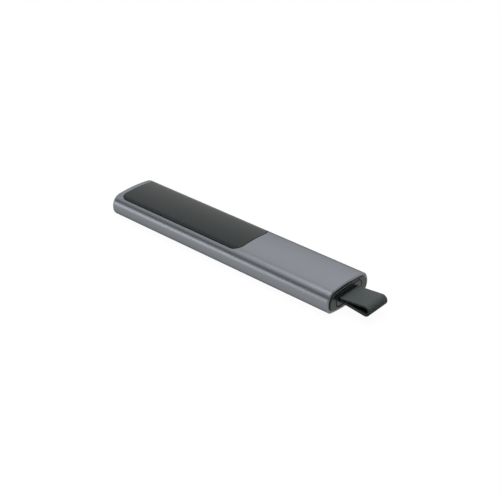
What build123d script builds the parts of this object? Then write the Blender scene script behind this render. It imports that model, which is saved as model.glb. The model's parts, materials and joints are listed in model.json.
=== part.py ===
from build123d import *
import math
import os

# Wireless presentation clicker, millimetres.
# +X runs from the closed front end to the tail, +Y across, +Z up.
# The dark back panel faces up, and the three buttons face down.
# Lengths called "distance" are measured along X from the front end.

# ---- Driving dimensions: body ------------------------------------------------
body_length = 131.8
body_width = 28.1
body_height = 12.1
widest_height = 5.8  # height of the line where the section is widest
crown_angle = 7.0  # half angle of the large arc across the back
shoulder_angle = 66.0  # angle from vertical where the shoulder meets the side
shoulder_radius = 5.5
base_angle = 10.5  # half angle of the large arc across the button face
corner_angle = 79.0  # angle from vertical where the lower corner meets the side
corner_radius = 4.25
wall = 1.25
front_wall = 1.5
front_edge_radius = 1.2
rim_chamfer = 0.45

# ---- Driving dimensions: back panel ------------------------------------------
panel_setback = 3.18  # front end of the body to the panel's opening
panel_length = 76.15
panel_border = 2.85  # side of the body to the panel's opening
panel_corner_radius = 4.0
panel_thickness = 0.6
panel_gap = 0.25  # open line all round the panel
adhesive_thickness = 0.1
ledge_width = 1.6  # seat left under the panel's border

# ---- Driving dimensions: end cap and receiver bay ----------------------------
skin_fit = 0.05  # clearance of a piece glued or pushed into the housing
cap_proud = 0.55
cap_depth = 3.8  # depth of the end cap inside the housing
cap_edge_radius = 0.3
cap_mouth_chamfer = 0.15
arm_length = 10.0
arm_width = 2.4
arm_height = 4.6
bay_height = 6.3  # height of the receiver's centre line
bay_wall = 0.5
bay_end_wall = 0.8
slide_gap = 0.125  # clearance all round the receiver in its bay
charge_space = 4.45  # free length between the plug's tip and the bay's end wall

# ---- Driving dimensions: receiver --------------------------------------------
receiver_width = 17.2
receiver_height = 6.8
receiver_radius = 2.3
receiver_length = 12.6  # outer face to collar, without the plug
receiver_wall = 0.8
receiver_face = 1.85
receiver_edge_radius = 0.3
collar_thickness = 1.0
plug_width = 12.0
plug_height = 4.5
plug_reach = 12.0
plug_root = 2.6  # length of the plug's shell inside the receiver
plug_wall = 0.3
plug_corner = 0.5
plug_fit = 0.05
plug_window_length = 2.0
plug_window_width = 2.5
plug_window_spacing = 5.7
plug_window_setback = 6.2  # plug's tip to the middle of the windows
tongue_thickness = 1.9
tongue_setback = 0.4
contact_thickness = 0.12
contact_width = 1.0
contact_length = 7.4
contact_pitches = (-3.5, -1.0, 1.0, 3.5)
receiver_board_gap = 0.1  # clearance at each end of the receiver's board
receiver_board_width = 14.0
receiver_board_thickness = 0.8
receiver_chip_size = 4.0
receiver_chip_height = 0.8

# ---- Driving dimensions: pull tab --------------------------------------------
tab_width = 12.7
tab_reach = 15.1  # receiver's outer face to the fold
tab_thickness = 0.9
tab_root_height = 1.8
tab_fold_height = 4.65
tab_drop = 0.1  # how far the fold hangs below the root
tab_root_drop = 0.3  # root below the receiver's centre line
tab_parting = 0.3  # face of the receiver to where the two layers part
tab_slot_side = 0.5  # open space at each edge of the tab in its slot
tab_slot_rise = 0.3
tab_anchor_length = 1.15
tab_anchor_width = 14.4
tab_anchor_height = 3.4
tab_fit = 0.05

# ---- Driving dimensions: chassis and main board ------------------------------
chassis_fit = 0.15
chassis_setback = 0.5
rail_width = 2.35
cradle_fit = 0.1  # clearance of the receiver bay between the rails
bridge_thickness = 1.3
bridge_length = 3.0
front_bridge = 11.5  # distance to the middle of the front bridge
middle_bridge = 49.5
tray_distance = 55.85
tray_thickness = 0.8
tray_rim = 0.8
tray_rim_height = 1.6
board_side_gap = 0.4
board_thickness = 0.8
board_setback = 1.5  # front wall to board
board_end_gap = 0.1
board_corner = 1.0
screw_inset = 1.9  # board's edge to the middle of a screw
screw_radius = 0.8
screw_length = 3.4
screw_head_radius = 1.5
screw_head_height = 0.6
screw_hole_play = 0.1
thread_play = 0.05
boss_radius = 1.9
boss_height = 3.1
boss_spare = 0.4  # open depth past the screw's end
tray_screw_setback = 1.5  # tray's rear end to the rear screws

# ---- Driving dimensions: buttons ---------------------------------------------
pointer_distance = 18.0
pointer_radius = 6.5
next_distance = 38.0
next_radius = 8.4
back_distance = 57.5
back_radius = 5.6
pointer_dish = 0.25
next_dish = 0.45
back_dish = 0.3
dish_share = 0.8  # dish radius as a share of the button's
button_play = 0.12
button_recess = 0.1
flange_reach = 0.9
flange_play = 0.06
flange_room = 0.3  # open space round a flange, also where the rails come near
press_travel = 0.3
press_margin = 0.1
stem_radius = 0.9
gasket_thickness = 0.2
gasket_side_gap = 0.5
gasket_border = 2.0  # gasket past the outer buttons' edges
gasket_hole_radius = 1.5
switch_size = 3.8
switch_height = 0.7
switch_lip = 0.15
switch_mouth_radius = 1.1
switch_cavity_radius = 1.6
plunger_reach = 0.2
plunger_radius = 0.95
plunger_base_radius = 1.45
plunger_base_height = 0.12

# ---- Driving dimensions: parts on the main board -----------------------------
led_distance = 6.4
led_length = 1.6
led_width = 0.8
led_height = 0.5
pipe_radius = 0.7
pipe_play = 0.05
pipe_flange_radius = 1.3
pipe_flange_height = 0.5
pipe_gap = 0.1
antenna_distance = 6.0
antenna_span = 12.0
antenna_strip = 1.0
antenna_metal = 0.3
antenna_rise = 1.6
antenna_leg_spacing = 4.0
can_distance = 24.0
can_length = 18.0
can_width = 14.0
can_height = 1.8
can_wall = 0.2
radio_distance = 22.0
radio_size = 6.0
radio_height = 0.9
crystal_distance = 29.0
crystal_length = 2.5
crystal_width = 2.0
crystal_height = 0.6
sensor_distance = 41.5
sensor_edge_gap = 1.6
sensor_size = 3.0
sensor_height = 0.9
motor_distance = 41.5
motor_offset = -1.6
motor_radius = 4.0
motor_height = 3.0
motor_edge = 0.3
motor_pad_thickness = 0.15
battery_setback = 2.6  # tray's front end to the cell
battery_end_space = 5.9  # cell to the tray's rear end
battery_side_gap = 2.5  # cell to the tray's rims
battery_height = 4.0
battery_edge = 1.2
tape_thickness = 0.1
tape_border = 1.0
circuit_length = 1.6
circuit_width = 8.0
circuit_thickness = 0.6
circuit_gap = 0.2
circuit_drop = 0.4  # circuit below the middle of the cell
connector_setback = 3.05  # middle of the connector to the tray
connector_offset = 2.0
connector_length = 2.4
connector_width = 4.0
connector_height = 1.5
lead_radius = 0.3
lead_spacing = 1.4
lead_bend_share = 0.45  # bend radius as a share of the shorter run
charger_setback = 3.6  # bay's end wall to the middle of the charging chip
charger_gap = 1.03  # charging socket to the chip beside it
charger_size = 3.0
charger_height = 0.8

# ---- Driving dimensions: charging socket -------------------------------------
socket_width = 8.94
socket_height = 3.16
socket_length = 7.35
socket_radius = 1.2
socket_wall = 0.25
socket_fit = 0.08
socket_rear_gap = 1.6  # socket's rear end to the tray
socket_tongue_width = 6.7
socket_tongue_thickness = 0.7
socket_tongue_setback = 1.0
socket_contact_count = 12
socket_contact_pitch = 0.5
socket_contact_width = 0.25
socket_contact_height = 0.08
socket_contact_length = 3.6

# ---- Driving dimensions: springs that hold the receiver ----------------------
spring_length = 6.6
spring_height = 2.0
spring_metal = 0.2
spring_bow = 0.8
spring_play = 0.06
spring_window_play = 0.3
spring_setback = 1.4  # end cap's inner face to the springs

# ---- Worked out from the dimensions above ------------------------------------
total_length = body_length + cap_proud + tab_reach
front_x = -total_length / 2
upper_height = body_height - widest_height
panel_width = body_width - 2 * panel_border
housing_skin = wall + chassis_fit
channel_width = body_width - 2 * (housing_skin + rail_width)
board_width = channel_width - 2 * board_side_gap
screw_spacing = board_width - 2 * screw_inset
gasket_width = channel_width - 2 * gasket_side_gap
tail_face = body_length + cap_proud  # outer face of the end cap and the receiver
cap_inner = body_length - cap_depth
opening_width = receiver_width + 2 * slide_gap
opening_height = receiver_height + 2 * slide_gap
opening_radius = receiver_radius + slide_gap
plug_tip = tail_face - receiver_length - plug_reach
bay_end = plug_tip - charge_space  # inside face of the bay's end wall
bay_start = bay_end - bay_end_wall
board_top = bay_height - socket_height / 2
board_bottom = board_top - board_thickness
board_start = front_wall + board_setback
board_end = bay_start - board_end_gap
tray_end = bay_end - socket_length - socket_rear_gap
tray_length = tray_end - tray_distance
battery_length = tray_length - battery_setback - battery_end_space
battery_width = channel_width - 2 * (tray_rim + battery_side_gap)
connector_distance = tray_distance - connector_setback
sensor_offset = board_width / 2 - sensor_edge_gap - sensor_size / 2
charger_offset = (socket_width + charger_size) / 2 + charger_gap
rear_screws = tray_end - tray_screw_setback
screw_rows = (front_bridge, middle_bridge, rear_screws)
switch_bottom = board_bottom - switch_height
gasket_bottom = switch_bottom - gasket_thickness
flange_top = gasket_bottom - press_travel - press_margin
stem_top = switch_bottom - plunger_reach
buttons = (
    ("pointer", pointer_distance, pointer_radius, pointer_dish),
    ("next", next_distance, next_radius, next_dish),
    ("back", back_distance, back_radius, back_dish),
)


def closing_radii(height, first, second, middle_radius):
    """Crown and side radii that close a quarter of the section with tangent arcs."""
    a = math.radians(first)
    b = math.radians(second)
    reach = body_width / 2 - middle_radius * (math.sin(b) - math.sin(a))
    rise = height - middle_radius * (math.cos(a) - math.cos(b))
    scale = math.sin(a) * math.cos(b) - (1 - math.sin(b)) * (1 - math.cos(a))
    crown = (reach * math.cos(b) - (1 - math.sin(b)) * rise) / scale
    side = (math.sin(a) * rise - (1 - math.cos(a)) * reach) / scale
    return crown, side


def body_section(distance, inset):
    """The body's section at a distance from the front end, inset inside its skin."""
    quarters = (
        (1, upper_height, crown_angle, shoulder_angle, shoulder_radius),
        (-1, widest_height, base_angle, corner_angle, corner_radius),
    )
    with BuildSketch(Plane.YZ.offset(front_x + distance)) as sketch:
        with BuildLine():
            for up, height, first, second, middle in quarters:
                crown, side = closing_radii(height, first, second, middle)
                lean = math.radians(first)
                level = widest_height + up * (height - crown)
                reach = (crown - middle) * math.sin(lean)
                middle_level = level + up * (crown - middle) * math.cos(lean)
                CenterArc((0, level), crown - inset, up * 90 - first, 2 * first)
                for hand in (1, -1):
                    turned = up * 90 - second if hand == up else up * 90 + first
                    CenterArc((hand * reach, middle_level), middle - inset, turned, second - first)
                    turned = up * 90 - 90 if hand == up else up * 90 + second
                    outer = hand * (body_width / 2 - side)
                    CenterArc((outer, widest_height), side - inset, turned, 90 - second)
        make_face()
    return sketch.sketch


def crown_slab(border, top_inset, bottom_inset):
    """Slab of the back panel's outline, shrunk by a border, between two parallel skins."""
    middle = front_x + panel_setback + panel_length / 2
    length = panel_length - 2 * border
    width = panel_width - 2 * border
    with BuildPart() as slab:
        with BuildSketch(Plane(origin=(middle, 0, widest_height))):
            RectangleRounded(length, width, panel_corner_radius - border)
        extrude(amount=body_height)
        extrude(to_extrude=body_section(0, top_inset), amount=body_length, mode=Mode.INTERSECT)
        extrude(to_extrude=body_section(0, bottom_inset), amount=body_length, mode=Mode.SUBTRACT)
    return slab.part


def floor_disc(distance, radius, top, inset):
    """Upright disc whose lower face follows the button face, inset inside its skin."""
    with BuildPart() as disc:
        with BuildSketch(Plane(origin=(front_x + distance, 0, 0))):
            Circle(radius)
        extrude(amount=top)
        extrude(to_extrude=body_section(0, inset), amount=body_length, mode=Mode.INTERSECT)
    return disc.part


def bay_outline(distance, grow):
    """The receiver opening's outline at a distance from the front end, grown by an amount."""
    with BuildSketch(Plane.YZ.offset(front_x + distance)) as sketch:
        with Locations((0, bay_height)):
            RectangleRounded(opening_width + 2 * grow, opening_height + 2 * grow, opening_radius + grow)
    return sketch.sketch


def keep(piece, name):
    """Label a finished piece and write it to its own file."""
    piece.label = name
    export_step(piece, f"parts/{name}.step")


os.makedirs("parts", exist_ok=True)

# ---- Housing: one aluminium tube with a closed front end ---------------------
with BuildPart() as housing:
    extrude(to_extrude=body_section(0, 0), amount=body_length)
    fillet(housing.faces().sort_by(Axis.X)[0].outer_wire().edges(), front_edge_radius)
    chamfer(housing.faces().sort_by(Axis.X)[-1].outer_wire().edges(), rim_chamfer)
    extrude(to_extrude=body_section(front_wall, wall), amount=body_length, mode=Mode.SUBTRACT)
    add(crown_slab(0, -wall, panel_thickness + adhesive_thickness), mode=Mode.SUBTRACT)
    add(crown_slab(ledge_width, -wall, 2 * wall), mode=Mode.SUBTRACT)
    for name, distance, radius, dish in buttons:
        with Locations((front_x + distance, 0, 0)):
            Cylinder(radius, 2 * widest_height, mode=Mode.SUBTRACT)
    with Locations((front_x + led_distance, 0, 0)):
        Cylinder(pipe_radius + pipe_play, 2 * widest_height, mode=Mode.SUBTRACT)
keep(housing.part, "housing")

# ---- Back panel and the adhesive frame that holds it -------------------------
with BuildPart() as back_panel:
    add(crown_slab(panel_gap, 0, panel_thickness))
keep(back_panel.part, "back_panel")

with BuildPart() as panel_adhesive:
    add(crown_slab(panel_gap, panel_thickness, panel_thickness + adhesive_thickness))
    add(crown_slab(ledge_width, panel_thickness / 2, 2 * panel_thickness), mode=Mode.SUBTRACT)
keep(panel_adhesive.part, "panel_adhesive")

# ---- End cap: closes the tail and frames the receiver ------------------------
with BuildPart() as end_cap:
    extrude(to_extrude=body_section(cap_inner, wall + skin_fit), amount=cap_depth + cap_proud)
    fillet(end_cap.faces().sort_by(Axis.X)[-1].outer_wire().edges(), cap_edge_radius)
    extrude(to_extrude=bay_outline(cap_inner, 0), amount=body_length, mode=Mode.SUBTRACT)
    chamfer(end_cap.edges(Select.LAST).group_by(Axis.X)[-1], cap_mouth_chamfer)
arm_inner = opening_width / 2 + bay_wall + spring_bow - spring_metal
with BuildPart() as arms:
    with BuildSketch(Plane.YZ.offset(front_x + cap_inner)):
        with Locations((arm_inner + arm_width / 2, bay_height), (-arm_inner - arm_width / 2, bay_height)):
            Rectangle(arm_width, arm_height)
    extrude(amount=-arm_length)
    extrude(to_extrude=body_section(0, housing_skin), amount=body_length, mode=Mode.INTERSECT)
with BuildPart() as armed_cap:
    add(end_cap.part)
    add(arms.part)
keep(armed_cap.part, "end_cap")

# ---- Receiver bay: the sleeve that the receiver slides into ------------------
spring_end = cap_inner - spring_setback
spring_start = spring_end - spring_length
with BuildPart() as receiver_bay:
    extrude(to_extrude=bay_outline(bay_start, bay_wall), amount=cap_inner - bay_start)
    extrude(to_extrude=bay_outline(bay_end, 0), amount=body_length, mode=Mode.SUBTRACT)
    with BuildSketch(Plane.YZ.offset(front_x + bay_start)):
        with Locations((0, bay_height)):
            RectangleRounded(
                socket_width + 2 * socket_fit, socket_height + 2 * socket_fit, socket_radius + socket_fit
            )
    extrude(amount=bay_end_wall, mode=Mode.SUBTRACT)
    with BuildSketch(Plane.XZ.offset(-body_width / 2)):
        with Locations((front_x + (spring_start + spring_end) / 2, bay_height)):
            Rectangle(spring_length + 2 * spring_window_play, spring_height + 2 * spring_window_play)
    extrude(amount=body_width, mode=Mode.SUBTRACT)
keep(receiver_bay.part, "receiver_bay")

# ---- Two bowed springs that grip the receiver's sides ------------------------
crest = receiver_width / 2 + spring_play
with BuildPart() as bay_springs:
    for hand in (1, -1):
        with BuildSketch(Plane.XY.offset(bay_height - spring_height / 2)):
            with BuildLine():
                near = front_x + spring_start
                far = front_x + spring_end
                middle = (near + far) / 2
                inner_foot = hand * (crest + spring_bow)
                outer_foot = hand * (crest + spring_bow + spring_metal)
                outer_crest = hand * (crest + spring_metal)
                ThreePointArc((near, inner_foot), (middle, hand * crest), (far, inner_foot))
                Line((far, inner_foot), (far, outer_foot))
                ThreePointArc((far, outer_foot), (middle, outer_crest), (near, outer_foot))
                Line((near, outer_foot), (near, inner_foot))
            make_face()
        extrude(amount=spring_height)
keep(bay_springs.part, "bay_springs")

# ---- Chassis: two rails, bridges over the board and the battery's tray -------
chassis_start = front_wall + chassis_setback
chassis_end = cap_inner - arm_length - chassis_setback
cradle_width = opening_width + 2 * bay_wall + 2 * cradle_fit
tray_middle = front_x + (tray_distance + tray_end) / 2
with BuildPart() as chassis:
    extrude(to_extrude=body_section(chassis_start, housing_skin), amount=chassis_end - chassis_start)
    with BuildSketch(Plane(origin=(front_x, 0, 0))):
        with Locations((bay_start / 2, 0)):
            Rectangle(bay_start, channel_width)
        with Locations((bay_start + body_length / 2, 0)):
            Rectangle(body_length, cradle_width)
    extrude(amount=body_height, mode=Mode.SUBTRACT)
    with BuildSketch(Plane.XY.offset(board_top)):
        with Locations((front_x + front_bridge, 0), (front_x + middle_bridge, 0)):
            Rectangle(bridge_length, channel_width + chassis_fit)
    extrude(amount=bridge_thickness)
    with BuildSketch(Plane(origin=(tray_middle, 0, board_top))):
        Rectangle(tray_length, channel_width + chassis_fit)
    extrude(amount=tray_thickness)
    with BuildSketch(Plane(origin=(tray_middle, 0, board_top + tray_thickness))):
        for hand in (1, -1):
            with Locations((0, hand * (channel_width - tray_rim) / 2)):
                Rectangle(tray_length, tray_rim)
    extrude(amount=tray_rim_height)
    for row in screw_rows:
        with BuildSketch(Plane(origin=(front_x + row, 0, board_top))):
            with GridLocations(0, screw_spacing, 1, 2):
                Circle(boss_radius)
        extrude(amount=boss_height + boss_spare)
        with BuildSketch(Plane(origin=(front_x + row, 0, board_top))):
            with GridLocations(0, screw_spacing, 1, 2):
                Circle(screw_radius + thread_play)
        extrude(amount=screw_length - board_thickness + boss_spare, mode=Mode.SUBTRACT)
    for name, distance, radius, dish in buttons:
        with BuildSketch(Plane(origin=(front_x + distance, 0, 0))):
            Circle(radius + flange_reach + flange_room)
        extrude(amount=gasket_bottom, mode=Mode.SUBTRACT)
keep(chassis.part, "chassis")

# ---- Main board and the screws that hang it from the chassis -----------------
board_length = board_end - board_start
board_middle = front_x + (board_start + board_end) / 2
with BuildPart() as main_board:
    with BuildSketch(Plane(origin=(board_middle, 0, board_bottom))):
        RectangleRounded(board_length, board_width, board_corner)
    extrude(amount=board_thickness)
    for row in screw_rows:
        with BuildSketch(Plane(origin=(front_x + row, 0, board_bottom))):
            with GridLocations(0, screw_spacing, 1, 2):
                Circle(screw_radius + screw_hole_play)
        extrude(amount=board_thickness, mode=Mode.SUBTRACT)
keep(main_board.part, "main_board")

with BuildPart() as board_screws:
    for row in screw_rows:
        with BuildSketch(Plane(origin=(front_x + row, 0, board_bottom - screw_head_height))):
            with GridLocations(0, screw_spacing, 1, 2):
                Circle(screw_head_radius)
        extrude(amount=screw_head_height)
        with BuildSketch(Plane(origin=(front_x + row, 0, board_bottom))):
            with GridLocations(0, screw_spacing, 1, 2):
                Circle(screw_radius)
        extrude(amount=screw_length)
keep(board_screws.part, "board_screws")

# ---- Buttons, their gasket and their switches --------------------------------
for name, distance, radius, dish in buttons:
    dish_radius = dish_share * radius
    ball = (dish_radius**2 + dish**2) / (2 * dish)
    with BuildPart() as button:
        add(floor_disc(distance, radius - button_play, flange_top, button_recess))
        add(floor_disc(distance, radius + flange_reach, flange_top, wall + flange_play))
        with BuildSketch(Plane(origin=(front_x + distance, 0, flange_top))):
            Circle(stem_radius)
        extrude(amount=stem_top - flange_top)
        with Locations((front_x + distance, 0, button_recess + dish - ball)):
            Sphere(ball, mode=Mode.SUBTRACT)
    keep(button.part, f"{name}_button")

    with BuildPart() as plunger:
        with BuildSketch(Plane(origin=(front_x + distance, 0, stem_top))):
            Circle(plunger_radius)
        extrude(amount=plunger_reach + switch_lip + plunger_base_height)
        with BuildSketch(Plane(origin=(front_x + distance, 0, switch_bottom + switch_lip))):
            Circle(plunger_base_radius)
        extrude(amount=plunger_base_height)
    keep(plunger.part, f"{name}_plunger")

with BuildPart() as switch_housings:
    for name, distance, radius, dish in buttons:
        with BuildSketch(Plane(origin=(front_x + distance, 0, switch_bottom))):
            Rectangle(switch_size, switch_size)
            Circle(switch_mouth_radius, mode=Mode.SUBTRACT)
        extrude(amount=switch_height)
        with BuildSketch(Plane(origin=(front_x + distance, 0, switch_bottom + switch_lip))):
            Circle(switch_cavity_radius)
        extrude(amount=switch_height, mode=Mode.SUBTRACT)
keep(switch_housings.part, "switch_housings")

gasket_start = pointer_distance - pointer_radius - gasket_border
gasket_end = back_distance + back_radius + gasket_border
with BuildPart() as button_gasket:
    with BuildSketch(Plane(origin=(front_x + (gasket_start + gasket_end) / 2, 0, gasket_bottom))):
        RectangleRounded(gasket_end - gasket_start, gasket_width, board_corner)
    extrude(amount=gasket_thickness)
    for name, distance, radius, dish in buttons:
        with Locations((front_x + distance, 0, gasket_bottom)):
            Cylinder(gasket_hole_radius, body_height, mode=Mode.SUBTRACT)
keep(button_gasket.part, "button_gasket")

# ---- Status light and the clear pipe through the floor -----------------------
with BuildPart() as status_led:
    with BuildSketch(Plane(origin=(front_x + led_distance, 0, board_bottom))):
        Rectangle(led_length, led_width)
    extrude(amount=-led_height)
keep(status_led.part, "status_led")

with BuildPart() as light_pipe:
    add(floor_disc(led_distance, pipe_radius, board_bottom - led_height - pipe_gap, button_recess))
    add(floor_disc(led_distance, pipe_flange_radius, wall + skin_fit + pipe_flange_height, wall + skin_fit))
keep(light_pipe.part, "light_pipe")

# ---- Radio: antenna, shield can, chips ---------------------------------------
with BuildPart() as antenna:
    with BuildSketch(Plane(origin=(front_x + antenna_distance, 0, board_top + antenna_rise))):
        Rectangle(antenna_strip, antenna_span)
    extrude(amount=antenna_metal)
    with BuildSketch(Plane(origin=(front_x + antenna_distance, 0, board_top))):
        with Locations((0, -antenna_span / 2 + antenna_metal / 2)):
            Rectangle(antenna_strip, antenna_metal)
        with Locations((0, -antenna_span / 2 + antenna_metal / 2 + antenna_leg_spacing)):
            Rectangle(antenna_strip, antenna_metal)
    extrude(amount=antenna_rise)
keep(antenna.part, "antenna")

with BuildPart() as shield_can:
    with BuildSketch(Plane(origin=(front_x + can_distance, 0, board_top))):
        RectangleRounded(can_length, can_width, 2 * can_wall)
    extrude(amount=can_height)
    with BuildSketch(Plane(origin=(front_x + can_distance, 0, board_top))):
        RectangleRounded(can_length - 2 * can_wall, can_width - 2 * can_wall, can_wall)
    extrude(amount=can_height - can_wall, mode=Mode.SUBTRACT)
keep(shield_can.part, "shield_can")

charger_distance = bay_start - charger_setback
connector_size = (connector_length, connector_width, connector_height)
board_blocks = (
    ("radio_chip", radio_distance, 0, (radio_size, radio_size, radio_height)),
    ("crystal", crystal_distance, 0, (crystal_width, crystal_length, crystal_height)),
    ("motion_sensor", sensor_distance, sensor_offset, (sensor_size, sensor_size, sensor_height)),
    ("battery_connector", connector_distance, connector_offset, connector_size),
    ("charger_chip", charger_distance, charger_offset, (charger_size, charger_size, charger_height)),
)
for name, distance, offset_y, size in board_blocks:
    with BuildPart() as block:
        with BuildSketch(Plane(origin=(front_x + distance, offset_y, board_top))):
            Rectangle(size[0], size[1])
        extrude(amount=size[2])
    keep(block.part, name)

# ---- Vibration motor on its foam pad -----------------------------------------
with BuildPart() as motor_pad:
    with BuildSketch(Plane(origin=(front_x + motor_distance, motor_offset, board_top))):
        Circle(motor_radius - motor_edge)
    extrude(amount=motor_pad_thickness)
keep(motor_pad.part, "motor_pad")

motor_bottom = board_top + motor_pad_thickness
with BuildPart() as haptic_motor:
    with BuildSketch(Plane(origin=(front_x + motor_distance, motor_offset, motor_bottom))):
        Circle(motor_radius)
    extrude(amount=motor_height)
    fillet(haptic_motor.edges().filter_by(GeomType.CIRCLE), motor_edge)
keep(haptic_motor.part, "haptic_motor")

# ---- Battery: cell, tape, protection circuit and leads -----------------------
cell_start = tray_distance + battery_setback
cell_middle = front_x + cell_start + battery_length / 2
tape_bottom = board_top + tray_thickness
cell_bottom = tape_bottom + tape_thickness
with BuildPart() as battery_tape:
    with BuildSketch(Plane(origin=(cell_middle, 0, tape_bottom))):
        Rectangle(battery_length - 2 * tape_border, battery_width - 2 * tape_border - battery_edge)
    extrude(amount=tape_thickness)
keep(battery_tape.part, "battery_tape")

with BuildPart() as battery_cell:
    with BuildSketch(Plane.YZ.offset(front_x + cell_start)):
        with Locations((0, cell_bottom + battery_height / 2)):
            RectangleRounded(battery_width, battery_height, battery_edge)
    extrude(amount=battery_length)
keep(battery_cell.part, "battery_cell")

circuit_bottom = cell_bottom + battery_height / 2 - circuit_drop
circuit_middle = cell_start - circuit_gap - circuit_length / 2
with BuildPart() as battery_circuit:
    with BuildSketch(Plane(origin=(front_x + circuit_middle, 0, circuit_bottom))):
        Rectangle(circuit_length, circuit_width)
    extrude(amount=circuit_thickness)
keep(battery_circuit.part, "battery_circuit")

lead_start = front_x + connector_distance + connector_length / 2
lead_end = front_x + circuit_middle - circuit_length / 2
lead_low = board_top + connector_height / 2
lead_high = circuit_bottom + circuit_thickness / 2
lead_run = (lead_end - lead_start) / 2
lead_bend = lead_bend_share * lead_run
with BuildPart() as battery_leads:
    for side in (-1, 1):
        lane = connector_offset + side * lead_spacing / 2
        with BuildLine():
            FilletPolyline(
                (lead_start, lane, lead_low),
                (lead_start + lead_run / 2, lane, lead_low),
                (lead_end - lead_run / 2, lane, lead_high),
                (lead_end, lane, lead_high),
                radius=lead_bend,
            )
        with BuildSketch(Plane(origin=(lead_start, lane, lead_low), z_dir=(1, 0, 0))):
            Circle(lead_radius)
        sweep()
keep(battery_leads.part, "battery_leads")

# ---- Charging socket at the bottom of the bay --------------------------------
socket_start = bay_end - socket_length
with BuildPart() as usb_c_shell:
    with BuildSketch(Plane.YZ.offset(front_x + socket_start)):
        with Locations((0, bay_height)):
            RectangleRounded(socket_width, socket_height, socket_radius)
    extrude(amount=socket_length)
    with BuildSketch(Plane.YZ.offset(front_x + socket_start + socket_wall)):
        with Locations((0, bay_height)):
            RectangleRounded(
                socket_width - 2 * socket_wall, socket_height - 2 * socket_wall, socket_radius - socket_wall
            )
    extrude(amount=socket_length, mode=Mode.SUBTRACT)
keep(usb_c_shell.part, "usb_c_shell")

socket_tongue_start = socket_start + socket_wall
with BuildPart() as usb_c_tongue:
    with BuildSketch(Plane.YZ.offset(front_x + socket_tongue_start)):
        with Locations((0, bay_height)):
            Rectangle(socket_tongue_width, socket_tongue_thickness)
    extrude(amount=bay_end - socket_tongue_setback - socket_tongue_start)
keep(usb_c_tongue.part, "usb_c_tongue")

pad_middle = front_x + bay_end - socket_tongue_setback - socket_contact_length / 2
with BuildPart() as usb_c_contacts:
    for side in (1, -1):
        pad_level = bay_height + side * socket_tongue_thickness / 2
        with BuildSketch(Plane(origin=(pad_middle, 0, pad_level))):
            with GridLocations(0, socket_contact_pitch, 1, socket_contact_count):
                Rectangle(socket_contact_length, socket_contact_width)
        extrude(amount=side * socket_contact_height)
keep(usb_c_contacts.part, "usb_c_contacts")


# ---- Receiver ----------------------------------------------------------------
def receiver_block(start, end, shrink):
    """Rounded block of the receiver's outline, shrunk by an amount, between two distances."""
    with BuildPart() as block:
        with BuildSketch(Plane.YZ.offset(front_x + start)):
            with Locations((0, bay_height)):
                RectangleRounded(
                    receiver_width - 2 * shrink, receiver_height - 2 * shrink, receiver_radius - shrink
                )
        extrude(amount=end - start)
    return block.part


def plug_block(start, end, shrink):
    """Block of the plug's outline, shrunk by an amount, between two distances."""
    with BuildPart() as block:
        with BuildSketch(Plane.YZ.offset(front_x + start)):
            with Locations((0, bay_height)):
                RectangleRounded(plug_width - 2 * shrink, plug_height - 2 * shrink, plug_corner - shrink)
        extrude(amount=end - start)
    return block.part


collar_start = tail_face - receiver_length
shell_start = collar_start + collar_thickness
cavity_end = tail_face - receiver_face
tab_level = bay_height - tab_root_drop
with BuildPart() as receiver_body:
    add(receiver_block(shell_start, tail_face, 0))
    fillet(receiver_body.faces().sort_by(Axis.X)[-1].outer_wire().edges(), receiver_edge_radius)
    add(receiver_block(shell_start, cavity_end, receiver_wall), mode=Mode.SUBTRACT)
    with BuildSketch(Plane.YZ.offset(front_x + cavity_end)):
        with Locations((0, tab_level)):
            slot_height = tab_root_height + 2 * tab_slot_rise
            RectangleRounded(tab_width + 2 * tab_slot_side, slot_height, tab_thickness)
    extrude(amount=receiver_face, mode=Mode.SUBTRACT)
keep(receiver_body.part, "receiver_body")

with BuildPart() as receiver_collar:
    add(receiver_block(collar_start, shell_start, 0))
    add(plug_block(collar_start, shell_start, -plug_fit), mode=Mode.SUBTRACT)
keep(receiver_collar.part, "receiver_collar")

plug_end = shell_start + plug_root
with BuildPart() as plug_shell:
    add(plug_block(plug_tip, plug_end, 0))
    add(plug_block(plug_tip, plug_end, plug_wall), mode=Mode.SUBTRACT)
    with BuildSketch(Plane(origin=(front_x + plug_tip + plug_window_setback, 0, 0))):
        with GridLocations(0, plug_window_spacing, 1, 2):
            Rectangle(plug_window_length, plug_window_width)
    extrude(amount=body_height, mode=Mode.SUBTRACT)
keep(plug_shell.part, "plug_shell")

tongue_top = bay_height + plug_height / 2 - plug_wall
tongue_start = plug_tip + tongue_setback
with BuildPart() as plug_tongue:
    with BuildSketch(Plane.YZ.offset(front_x + tongue_start)):
        with Locations((0, tongue_top - tongue_thickness / 2)):
            Rectangle(plug_width - 2 * plug_corner, tongue_thickness)
    extrude(amount=plug_end - tongue_start)
keep(plug_tongue.part, "plug_tongue")

with BuildPart() as plug_contacts:
    contact_middle = front_x + tongue_start + tongue_setback + contact_length / 2
    with BuildSketch(Plane(origin=(contact_middle, 0, tongue_top - tongue_thickness))):
        for pitch in contact_pitches:
            with Locations((0, pitch)):
                Rectangle(contact_length, contact_width)
    extrude(amount=-contact_thickness)
keep(plug_contacts.part, "plug_contacts")

anchor_start = cavity_end - tab_fit - tab_anchor_length
receiver_board_length = anchor_start - plug_end - 2 * receiver_board_gap
receiver_board_middle = front_x + (plug_end + anchor_start) / 2
receiver_board_bottom = bay_height - receiver_board_thickness
with BuildPart() as receiver_board:
    with BuildSketch(Plane(origin=(receiver_board_middle, 0, receiver_board_bottom))):
        Rectangle(receiver_board_length, receiver_board_width)
    extrude(amount=receiver_board_thickness)
keep(receiver_board.part, "receiver_board")

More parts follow.
